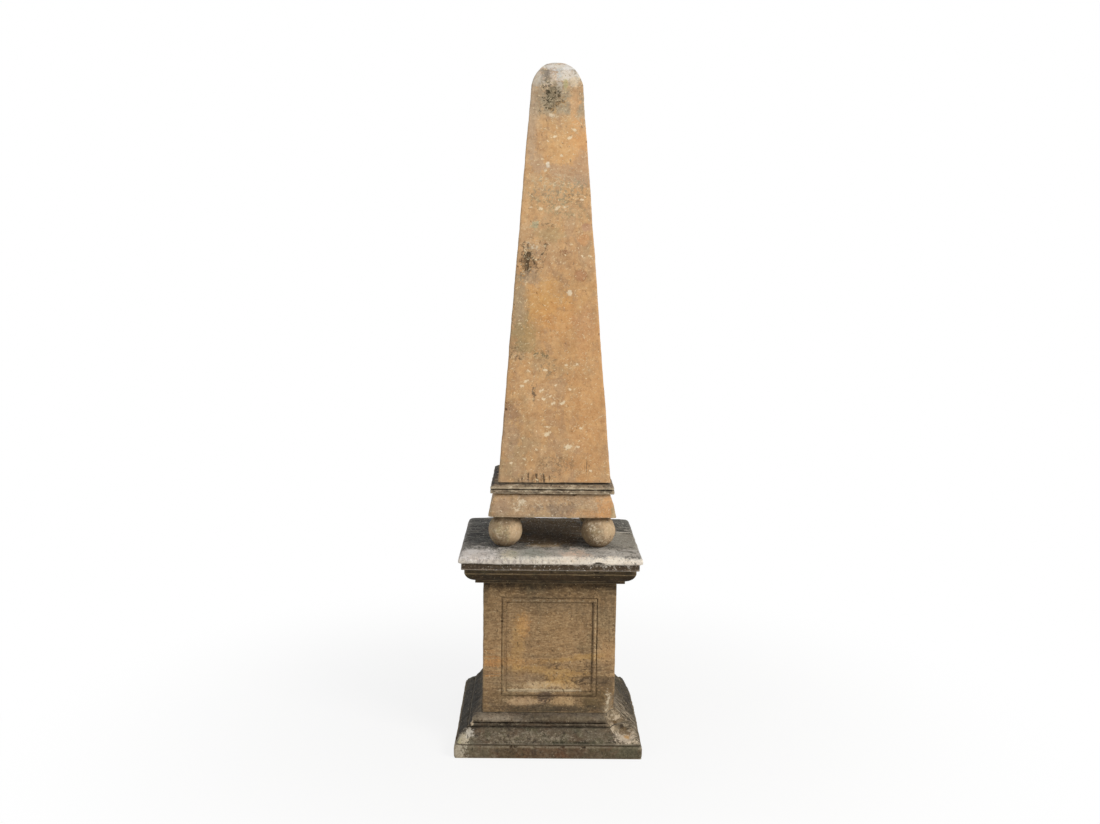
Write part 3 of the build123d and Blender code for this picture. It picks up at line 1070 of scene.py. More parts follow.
@dataclass(frozen=True)
class Seat:
    """Where a CAD node stands: its middle in plan, its half width and depth, its two beds."""

    middle: Vector
    half_width: float
    half_depth: float
    foot: float
    head: float

    @classmethod
    def of(cls, node: str) -> "Seat":
        """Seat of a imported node."""
        low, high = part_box(node)
        middle = Vector(((low.x + high.x) / 2, (low.y + high.y) / 2, 0.0))
        return cls(middle, (high.x - low.x) / 2, (high.y - low.y) / 2, low.z, high.z)


def hand_over(piece: bpy.types.Object, slot: str, *nodes: str) -> None:
    """Attach a finished piece to the root body, hide the CAD nodes that it stands for, and log them with
    its slot.
    """
    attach(piece, "root")
    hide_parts(*nodes)
    faces = len(piece.data.polygons)
    LOG.info("%s: %d faces, slot %s, stands for %s", piece.name, faces, slot, ", ".join(nodes))


# Stone tones
CHARCOAL = (70, 68, 62)
# Soot; at the top of the die also painted shadow under the cornice
SOOT_AND_SHADE = (44, 40, 35)
MOSS = (84, 84, 62)
CREAM = (222, 206, 178)
BREAK = (190, 174, 150)
OCHRE = (206, 152, 98)

SIDE_WEAR_AND_SHADE = (
    # The near-black left side: black lichen together with painted shade
    Mark((-285, 20, 85), (65, 300, 60), (34, 31, 28), 0.88, Lie.SOLID, 0.5, 0.5, 0.4),
    Mark((-275, 20, 75), (70, 300, 60), (78, 76, 68), 0.55, Lie.FIBRES, 0.6, 0.6, 0.4),
    Mark((275, 20, 85), (60, 300, 60), (88, 78, 63), 0.8, Lie.SOLID, 0.5, 0.5, 0.4),
    Mark((258, -160, 85), (45, 150, 60), (196, 180, 154), 0.9, Lie.FIBRES, 0.6, 0.6, 0.5),
    Mark((290, 120, 90), (40, 220, 60), (46, 42, 36), 0.7, *EVEN),
    Mark((255, 180, 105), (30, 120, 20), (76, 76, 60), 0.6, Lie.FIBRES, 0.8, 0.8, 0.4),
)

SCAR_WITH_PAINTED_LIGHT = (
    Mark((222, -222, 118), (40, 50, 56), (134, 118, 94), 0.85, Lie.SOLID, 0.6, 0.5, 0.3),
    Mark((199, -215, 138), (11, 30, 46), BREAK, 0.8, Lie.SPECKS, 0.9, 0.7, 0.3),
    Mark((214, -194, 108), (24, 30, 18), (196, 180, 154), 0.65, Lie.SPECKS, 0.9, 0.7, 0.3),
    # Painted shade in the hollow under the broken roll, painted light on the ledge above it, and painted
    # shade deeper in the hollow
    Mark((218, -205, 84), (16, 16, 6), (96, 76, 50), 0.8, Lie.SOLID, 0.6, 0.5, 0.3),
    Mark((230, -190, 96), (16, 18, 6), (200, 184, 160), 0.8, Lie.SOLID, 0.9, 0.6, 0.3),
    Mark((243, -203, 73), (8, 14, 10), (50, 40, 28), 0.85, Lie.SOLID, 0.6, 0.5, 0.3),
    Mark((250, -256, 54), (38, 40, 14), (214, 198, 176), 0.95, Lie.SOLID, 0.6, 0.4, 0.3),
    Mark((284, -262, 50), (18, 36, 10), (206, 190, 166), 0.85, Lie.FIBRES, 0.7, 0.4, 0.3),
    Mark((211, -228, 73), (7, 22, 16), (200, 184, 160), 0.85, Lie.SOLID, 0.7, 0.4, 0.3),
    Mark((253, -219, 57), (18, 16, 12), (106, 86, 58), 0.85, Lie.SOLID, 0.8, 0.6, 0.3),
    Mark((260, -244, 50), (10, 12, 8), (190, 146, 88), 0.8, Lie.SOLID, 0.7, 0.5, 0.4),
)

PLINTH_STONE = Sandstone(
    name="plinth_sandstone",
    ground=(
        (0, (72, 60, 46)), (12, (88, 74, 56)), (34, (98, 84, 66)), (41, (116, 104, 84)),
    ),
    veils=(
        Veil((108, 96, 76), 110, 0.4, 0.5),
        Veil((98, 64, 44), 70, 0.38, 0.55),
        Veil(MOSS, 50, 0.34, 0.5),
        Veil(SOOT_AND_SHADE, 30, 0.28, 0.6),
        Veil((148, 138, 118), 14, 0.26, 0.45),
    ),
    marks=(
        Mark((-235, -305, 20), (90, 60, 40), (112, 100, 82), 0.45, *EVEN),
        Mark((-110, -305, 20), (60, 60, 40), (86, 70, 48), 0.45),
        Mark((20, -305, 20), (90, 60, 40), (96, 70, 50), 0.45, *EVEN),
        Mark((160, -305, 20), (90, 60, 40), (88, 72, 54), 0.45, *EVEN),
        Mark((255, -305, 20), (50, 60, 40), (92, 90, 70), 0.6, *EVEN),
        Mark((-292, -305, 20), (24, 40, 30), (186, 176, 156), 0.85, Lie.SOLID, 1.1, 0.6),
    ),
    bedding=0.25, mottle=0.55, grit=0.45, flecks=0.1, fleck_colour=(170, 158, 132), specks=0.3,
    speck_colour=(44, 36, 28), worn=0.75, worn_colour=(160, 148, 126), recess_dirt_and_shade=0.7, recess_dirt_and_shade_colour=(34, 28, 22),
    bump=0.85,
)

RAKE_STONE = Sandstone(
    name="rake_sandstone",
    ground=(
        # The dark foot of the ramp is painted shade at the riser under the slope
        (44, (54, 46, 36)), (50, (80, 70, 56)), (60, (106, 95, 79)), (77, (104, 92, 76)),
    ),
    veils=(
        Veil((120, 110, 92), 90, 0.35, 0.45),
        Veil((86, 64, 46), 60, 0.32, 0.45),
        Veil(MOSS, 50, 0.3, 0.45),
        Veil(SOOT_AND_SHADE, 25, 0.25, 0.5),
        Veil((158, 148, 128), 10, 0.26, 0.4),
    ),
    marks=(
        *SIDE_WEAR_AND_SHADE,
        *SCAR_WITH_PAINTED_LIGHT,
        Mark((-279, -290, 60), (22, 40, 22), (204, 192, 168), 0.9, Lie.SOLID, 1.0, 0.7, 0.3),
        Mark((-260, -262, 70), (12, 24, 12), (206, 198, 184), 0.85, Lie.SOLID, 0.9, 0.6, 0.3),
        Mark((-292, -298, 52), (10, 20, 7), (150, 146, 96), 0.5),
        Mark((70, -298, 46), (100, 20, 6), (44, 44, 30), 0.7, Lie.SOLID, 0.9, 0.8),
        Mark((-60, -280, 60), (150, 30, 12), (160, 148, 128), 0.55, Lie.SPECKS, 0.9, 0.8),
    ),
    bedding=0.3, mottle=0.55, grit=0.45, flecks=0.2, fleck_colour=(176, 162, 136), specks=0.3,
    speck_colour=(50, 42, 34), worn=0.5, worn_colour=(144, 132, 112), recess_dirt_and_shade=0.6, recess_dirt_and_shade_colour=(36, 32, 24),
    bump=0.9,
)

BASE_STONE = Sandstone(
    name="base_sandstone",
    ground=(
        # The ramp darkens down into the recessed neck: painted shade under the roll
        (80, (62, 52, 40)), (93, (72, 60, 46)), (100, (82, 70, 55)), (112, (98, 87, 70)),
        (119, (116, 104, 88)),
    ),
    veils=(
        Veil((120, 108, 90), 80, 0.35, 0.45),
        Veil((92, 68, 48), 60, 0.3, 0.4),
        Veil(SOOT_AND_SHADE, 30, 0.3, 0.55),
        Veil((156, 144, 124), 10, 0.24, 0.4),
    ),
    marks=(
        Mark((-175, -250, 108), (75, 30, 16), (158, 145, 126), 0.72, Lie.SOLID, 0.8, 0.9, 0.4),
        *SIDE_WEAR_AND_SHADE,
        *SCAR_WITH_PAINTED_LIGHT,
        Mark((-251.5, -255, 102), (6, 30, 22), (216, 196, 168), 0.92, Lie.SOLID, 0.5, 0.4, 0.3),
        Mark((-40, -250, 114), (90, 16, 6), (70, 60, 48), 0.5),
        Mark((90, -250, 112), (100, 16, 6), (120, 106, 84), 0.45),
    ),
    bedding=0.25, mottle=0.55, grit=0.45, flecks=0.15, fleck_colour=(176, 162, 136), specks=0.3,
    speck_colour=(46, 38, 30), worn=0.5, worn_colour=(146, 134, 112), recess_dirt_and_shade=0.7, recess_dirt_and_shade_colour=(38, 32, 24),
    bump=0.85,
)

DIE_STONE = Sandstone(
    name="die_sandstone",
    ground=(
        (122, (78, 66, 50)), (138, (98, 84, 64)), (150, (124, 104, 78)), (175, (132, 108, 78)),
        (230, (154, 127, 93)), (330, (160, 129, 92)), (430, (152, 124, 90)), (520, (116, 95, 69)),
        # From 520 up the ramp goes dark: painted shadow under the cornice, together with soot
        (545, (66, 52, 35)), (564, (46, 35, 22)),
    ),
    veils=(
        Veil((178, 144, 100), 100, 0.35, 0.3),
        Veil((116, 94, 66), 80, 0.32, 0.35),
        Veil((128, 118, 92), 130, 0.25, 0.3),
        Veil((182, 150, 110), 16, 0.38, 0.35, (5, 5, 1), 0.05, Facing.ANY, (100, 360), 50),
        Veil((104, 84, 66), 13, 0.34, 0.45, (5, 5, 1), 0.05, Facing.ANY, (100, 360), 50),
        Veil((96, 74, 50), 5, 0.4, 0.4, (3.5, 3.5, 1)),
        Veil((184, 156, 116), 5, 0.3, 0.35, (3, 3, 1)),
        # Soot veil at the top of the die, also painted shadow under the cornice
        Veil(SOOT_AND_SHADE, 50, 0.3, 0.4, (1, 1, 3), 0.07, Facing.ANY, (500, 600), 20),
    ),
    marks=(
        Mark((-86, -212, 405), (20, 30, 34), (200, 148, 92), 0.45, *SOFT),
        Mark((-102, -212, 345), (24, 30, 80), (186, 146, 88), 0.4, *SOFT),
        Mark((10, -212, 214), (85, 30, 13), (206, 178, 138), 0.75, *FRAYED),
        Mark((70, -212, 484), (100, 30, 24), (112, 94, 72), 0.4, *SOFT),
        Mark((190, -217, 218), (30, 20, 30), (98, 82, 60), 0.5, *SOFT),
        Mark((-120, -212, 290), (100, 30, 14), (192, 146, 92), 0.4, *FRAYED),
        Mark((60, -212, 302), (110, 30, 9), (186, 146, 88), 0.5, Lie.SOLID, 0.8, 0.9, 0.5, -8.0),
        Mark((20, -212, 262), (110, 30, 14), (186, 148, 92), 0.55, Lie.SOLID, 0.8, 0.9, 0.4, 5.0),
        Mark((40, -212, 228), (52, 30, 22), (190, 150, 90), 0.6, *FRAYED),
        Mark((120, -212, 272), (60, 30, 10), (98, 82, 60), 0.45, Lie.BEDS, 0.9, 0.9, 0.4, -6.0),
        Mark((150, -212, 232), (70, 30, 16), (102, 84, 64), 0.6, Lie.SOLID, 1.0, 1.0, 0.4),
        Mark((-90, -212, 238), (50, 30, 18), (134, 110, 86), 0.4, Lie.SOLID, 1.0, 1.0, 0.4),
        Mark((-20, -212, 287), (45, 30, 7), (112, 90, 70), 0.45, Lie.SOLID, 1.0, 1.0, 0.4),
        Mark((-191, -217, 272), (26, 20, 50), (192, 138, 84), 0.5, Lie.BEDS, 0.8, 0.8, 0.4),
        Mark((195, -217, 326), (30, 20, 30), (186, 148, 104), 0.5, *EVEN),
        Mark((195, -217, 470), (22, 20, 90), (108, 90, 66), 0.45, Lie.DRIPS, 0.8, 0.8, 0.4),
        Mark((140, -217, 168), (50, 20, 28), (96, 80, 54), 0.65, *EVEN),
        Mark((-12, -217, 176), (30, 20, 22), (82, 68, 58), 0.8, Lie.SOLID, 0.7, 0.7),
        Mark((55, -217, 158), (38, 20, 14), (192, 160, 118), 0.7, Lie.SOLID, 1.0, 0.9),
        Mark((-90, -217, 158), (48, 20, 12), (190, 160, 124), 0.65, Lie.SOLID, 1.0, 0.9),
        # Painted highlight along the top of the lower bead
        Mark((-30, -213, 196), (125, 20, 4.5), (206, 188, 156), 0.7, Lie.SOLID, 0.5, 0.5),
        Mark((20, -217, 134), (140, 20, 12), (78, 68, 54), 0.65, *LOOSE),
        # Painted shadow under the cornice
        Mark((0, -217, 556), (240, 20, 14), (52, 39, 24), 0.55, *SOFT),
        *SCAR_WITH_PAINTED_LIGHT[:3],
        Mark((208, -215, 136), (14, 24, 26), (150, 132, 106), 0.8, Lie.SOLID, 0.8, 0.6, 0.3),
        Mark((197, -217, 150), (7, 20, 50), (208, 192, 164), 0.85, Lie.SPECKS, 0.8, 0.7),
        Mark((22, -212, 278), (24, 30, 13), (72, 56, 40), 0.62, *VEINED, 12.0),
        Mark((100, -212, 225), (58, 30, 18), (66, 52, 38), 0.7, *VEINED),
        Mark((-27, -212, 235), (24, 30, 10), (76, 60, 46), 0.62, *VEINED),
        Mark((117, -212, 262), (28, 30, 12), (76, 60, 44), 0.62, *VEINED),
        Mark((188, -217, 225), (26, 20, 10), (82, 68, 50), 0.62, *VEINED),
        Mark((10, -212, 350), (120, 30, 90), (116, 92, 64), 0.45, *VEINED),
        # Whitish patches together with a painted highlight along the top bead
        Mark((0, -217, 501.5), (140, 20, 3.5), (156, 142, 116), 0.6, Lie.SPECKS, 0.4, 0.3),
        # Painted shadow in the right inner quirk of the panel, painted highlight on the bead beside it,
        # then the same pair on the left
        Mark((143, -215, 370), (2.8, 20, 130), (74, 58, 42), 0.55, Lie.SOLID, 0.4, 0.4, 0.4),
        Mark((151, -218, 340), (2.4, 20, 120), (198, 176, 140), 0.6, Lie.SPECKS, 0.4, 0.3),
        Mark((-145, -215, 350), (3.2, 20, 120), (98, 76, 52), 0.5, *NEAT),
        Mark((-154, -218, 310), (2.4, 20, 110), (192, 168, 128), 0.55, Lie.SPECKS, 0.4, 0.3),
    ),
    bedding=0.2, drips=0.1, mottle=0.5, grit=0.5, flecks=0.1, fleck_colour=(206, 184, 146), specks=0.24,
    speck_colour=(78, 62, 44), worn=0.4, worn_colour=(186, 162, 124), recess_dirt_and_shade=0.6, recess_dirt_and_shade_colour=(58, 44, 30),
    bump=0.85,
)

CORNICE_STONE = Sandstone(
    name="cornice_sandstone",
    ground=(
        # The near-black lower fillet and ovolo are dirt together with painted shade under the fascia; the
        # thin light bands at 575.5, 605 and 617 are painted highlights on the arrises
        (567, (60, 48, 33)), (573, (66, 53, 37)), (575.5, (138, 120, 90)), (578, (44, 30, 10)),
        (602, (46, 33, 12)), (605, (126, 108, 80)), (607.5, (52, 40, 24)), (614.5, (60, 47, 30)),
        (617, (146, 128, 100)),
    ),
    veils=(
        Veil((72, 55, 36), 60, 0.35, 0.4),
        Veil((34, 27, 18), 40, 0.35, 0.45),
        Veil((62, 60, 42), 90, 0.22, 0.35),
    ),
    sway=5, bedding=0.12, drips=0.2, flecks=0.12, fleck_colour=(150, 132, 104), specks=0.2,
    speck_colour=(36, 30, 22), worn=0.45, worn_colour=(140, 122, 92), recess_dirt_and_shade=0.6, recess_dirt_and_shade_colour=(28, 22, 16),
)

SLAB_STONE = Sandstone(
    name="slab_sandstone",
    ground=(
        (620, (104, 86, 66)), (624, (70, 58, 44)), (640, (76, 63, 48)), (645, (204, 195, 183)),
        (656, (208, 199, 188)), (664, (168, 161, 152)), (669, (96, 93, 86)),
    ),
    veils=(
        Veil(CHARCOAL, 110, 0.45, 0.6, WHOLE, 0.07, Facing.UP),
        Veil((146, 140, 130), 70, 0.35, 0.55, WHOLE, 0.05, Facing.UP),
        Veil((40, 42, 42), 16, 0.36, 0.55, (6, 1, 1), 0.05, Facing.UP),
        Veil((160, 158, 150), 10, 0.3, 0.4, (6, 1, 1), 0.05, Facing.UP),
    ),
    marks=(
        Mark((-237, 90, 667), (120, 220, 40), (46, 47, 46), 0.85, *BROAD),
        Mark((-230, 110, 667), (110, 200, 40), (176, 174, 168), 0.45, Lie.FIBRES, 0.6, 0.8, 0.4),
        Mark((-287, 20, 662), (12, 240, 12), (150, 146, 140), 0.7, Lie.SPECKS, 0.6, 0.6, 0.4),
        # Painted shade under the block
        Mark((2, 123, 667), (160, 180, 40), (96, 75, 40), 0.9, *BROAD),
        Mark((245, 150, 667), (80, 160, 40), (84, 82, 76), 0.7, *BROAD),
        Mark((240, -80, 667), (90, 150, 40), (150, 145, 134), 0.75, *EVEN),
        Mark((240, -60, 667), (80, 130, 40), (84, 82, 78), 0.6, Lie.SPECKS, 0.8, 0.8, 0.4),
        Mark((250, -50, 667), (56, 116, 40), (162, 156, 143), 0.6, Lie.SOLID, 0.15, 0.15, 0.1),
        # Painted shade under the block
        Mark((0, -60, 667), (130, 100, 40), (92, 74, 48), 0.88, *BROAD),
        Mark((-18, -156, 667), (50, 26, 40), (166, 142, 108), 0.75, Lie.SOLID, 0.6, 0.6, 0.4),
        # Painted shade under the block, behind the tan arc
        Mark((-18, -130, 667), (40, 16, 40), (92, 76, 54), 0.75, Lie.SOLID, 0.5, 0.5, 0.4),
        Mark((0, -265, 671), (340, 75, 22), (198, 192, 183), 0.75, Lie.SOLID, 0.6, 0.7, 0.4),
        Mark((-235, -255, 664), (90, 65, 13), (218, 211, 206), 0.85, *BROAD),
        Mark((-130, -262, 664), (35, 40, 14), (192, 182, 148), 0.55, *LOOSE),
        Mark((-55, -262, 664), (60, 50, 16), (134, 140, 128), 0.6, *LOOSE),
        Mark((81, -262, 662), (38, 50, 18), (214, 186, 162), 0.6, *FRAYED),
        Mark((81, -262, 662), (40, 56, 18), (240, 212, 190), 0.9, Lie.SPECKS, 0.9, 0.9, 0.4),
        Mark((160, -262, 668), (80, 60, 10), (110, 106, 100), 0.4, Lie.SPECKS, 0.9, 0.9, 0.4),
        Mark((90, -296, 655), (220, 20, 13), (230, 220, 204), 0.75, *SOFT),
        Mark((235, -230, 667), (50, 50, 30), (190, 184, 176), 0.65, Lie.SPECKS, 0.9, 0.9, 0.4),
        Mark((-140, -300, 653), (110, 30, 8), (122, 110, 112), 0.6, Lie.DRIPS, 0.9, 0.9, 0.4),
        Mark((210, -298, 655), (100, 18, 10), (240, 230, 214), 0.7, *SOFT),
        # Painted highlight and painted shadow along the edge of the raised lamination, then a painted
        # highlight on its further edge
        Mark((260, 62, 668), (38, 6, 10), (198, 193, 181), 0.9, *NEAT),
        Mark((258, 76, 668), (38, 6, 10), (52, 49, 44), 0.8, *NEAT),
        Mark((265, 145, 668), (26, 5, 10), (170, 165, 154), 0.7, *NEAT),
        # Painted shadow in the chip under the lip
        Mark((150, -292, 646), (19, 12, 5), (70, 62, 54), 0.88, Lie.SOLID, 0.3, 0.3, 0.2),
    ),
    bedding=0.22, drips=0.06, mottle=0.6, grit=0.5, flecks=0.3, fleck_colour=(214, 206, 194), specks=0.3,
    speck_colour=(64, 58, 52), worn=0.35, worn_colour=(196, 188, 176), recess_dirt_and_shade=0.6, recess_dirt_and_shade_colour=(44, 38, 30),
    bump=0.8,
)

BALL_STONE = Sandstone(
    name="ball_sandstone",
    ground=(
        # Darker towards the foot and a little towards the block: painted shade
        (670, (116, 100, 78)), (690, (146, 125, 98)), (730, (174, 149, 117)), (776, (156, 134, 106)),
    ),
    veils=(
        Veil((200, 170, 132), 50, 0.35, 0.4),
        Veil((122, 106, 84), 45, 0.35, 0.45),
        Veil((156, 148, 112), 50, 0.28, 0.45),
        Veil((96, 80, 62), 12, 0.24, 0.35),
        Veil(CREAM, 9, 0.2, 0.45),
    ),
    marks=(
        # Painted light on the right of each front ball; painted shade on the left of the right ball, low on
        # both balls and under the block
        Mark((-110, -185, 728), (28, 50, 45), (208, 180, 144), 0.6, *ROUND),
        Mark((196, -185, 728), (28, 50, 45), (208, 178, 142), 0.5, *ROUND),
        Mark((115, -185, 712), (22, 50, 40), (108, 88, 64), 0.65, Lie.SOLID, 0.8, 0.8, 0.5),
        Mark((-155, -190, 683), (50, 50, 18), (122, 102, 78), 0.55, *ROUND),
        Mark((155, -190, 683), (50, 50, 18), (110, 92, 70), 0.55, *ROUND),
        Mark((-150, -200, 762), (45, 60, 12), (104, 88, 66), 0.55, *ROUND),
        Mark((-164, -205, 724), (11, 30, 18), CREAM, 0.65, Lie.SPECKS),
        Mark((130, -190, 744), (13, 30, 14), CREAM, 0.7, Lie.SPECKS),
        Mark((142, -205, 712), (13, 30, 12), CREAM, 0.75, Lie.SPECKS),
        Mark((172, -200, 698), (20, 30, 12), CREAM, 0.6, Lie.SPECKS),
    ),
    bedding=0.1, drips=0.05, mottle=0.5, grit=0.25, flecks=0.18, specks=0.2, speck_colour=(88, 72, 54),
    worn=0.2, bump=0.9,
)

BLOCK_STONE = Sandstone(
    name="block_sandstone",
    ground=(
        (776, (150, 126, 100)), (790, (176, 146, 112)), (820, (180, 150, 116)), (849, (186, 154, 120)),
    ),
    veils=(
        Veil((196, 158, 112), 80, 0.35, 0.4),
        Veil((142, 120, 96), 60, 0.38, 0.45),
        Veil((160, 146, 118), 100, 0.25, 0.4),
        Veil((116, 92, 68), 10, 0.24, 0.3),
        Veil(CREAM, 7, 0.18, 0.35),
    ),
    marks=(
        Mark((-94, -203, 827), (10, 30, 8), CREAM, 0.7, Lie.SOLID, 1.2, 0.8, 0.2, 30.0),
        Mark((-104, -203, 815), (16, 30, 10), CREAM, 0.6, Lie.SPECKS, 1.2, 0.8),
        Mark((-44, -205, 812), (16, 30, 10), CREAM, 0.6, Lie.SPECKS, 1.2, 0.8),
        Mark((-111, -205, 798), (6, 30, 4), CREAM, 0.6, Lie.SOLID, 1.0, 0.6),
        Mark((185, -205, 812), (34, 40, 45), OCHRE, 0.65, Lie.SOLID, 0.8, 0.8, 0.5),
        Mark((110, -205, 790), (60, 40, 16), OCHRE, 0.4, Lie.SOLID, 0.8, 0.8, 0.5),
        Mark((30, -205, 803), (60, 20, 18), (138, 120, 102), 0.55, Lie.SOLID, 1.0, 0.9),
        Mark((-160, -205, 815), (36, 30, 26), (168, 140, 114), 0.45, *FRAYED),
        Mark((-204, -196, 795), (10, 20, 30), (206, 196, 178), 0.65, Lie.SPECKS, 0.8, 0.6),
        Mark((203, -196, 795), (8, 20, 30), (160, 150, 118), 0.6, Lie.SOLID, 0.6, 0.5),
    ),
    bedding=0.14, mottle=0.5, grit=0.24, flecks=0.2, specks=0.2, speck_colour=(112, 90, 66), worn=0.35,
    worn_colour=(200, 182, 150), recess_dirt_and_shade=0.5, recess_dirt_and_shade_colour=(70, 58, 44), bump=0.8,
)

BAND_STONE = Sandstone(
    name="band_sandstone",
    ground=(
        # The dip at 864 is painted shade in the groove between the fillets
        (852.4, (134, 116, 94)), (864, (110, 93, 74)), (869, (124, 107, 87)), (878, (142, 124, 102)),
    ),
    veils=(
        Veil((154, 138, 114), 60, 0.4, 0.5),
        Veil((84, 70, 56), 35, 0.38, 0.6, (2, 2, 1)),
        Veil(SOOT_AND_SHADE, 20, 0.34, 0.65, (2, 2, 1)),
        Veil((210, 196, 170), 10, 0.28, 0.65, (2.5, 2.5, 1)),
    ),
    marks=(
        # Dark top of the band's left side: lichen together with painted shade
        Mark((-205, 30, 876), (26, 250, 30), (50, 50, 52), 0.92, *NEAT),
        Mark((180, -200, 872), (50, 50, 6), (104, 100, 94), 0.6, Lie.SPECKS),
    ),
    bedding=0.12, drips=0.3, mottle=0.55, grit=0.5, flecks=0.2, specks=0.3, speck_colour=(60, 50, 40),
    worn=0.5, worn_colour=(198, 180, 150), recess_dirt_and_shade=0.8, recess_dirt_and_shade_colour=(40, 32, 24), bump=0.8,
)


SHAFT_SPRING = 2.163  # level where the dome starts
SHAFT_FRONT = -0.083  # front of the shaft at that level
SHAFT_TAPER = 0.0785  # how far the front comes forward for each metre down


def on_shaft(*spots: tuple[float, float]) -> tuple[Triple, ...]:
    """Places on the front of the shaft, from their distance to the right and level in millimetres."""
    places = []
    for side, level in spots:
        drop = SHAFT_SPRING - level / METRE
        places.append((side / METRE, SHAFT_FRONT - SHAFT_TAPER * drop, level / METRE))
    return tuple(places)


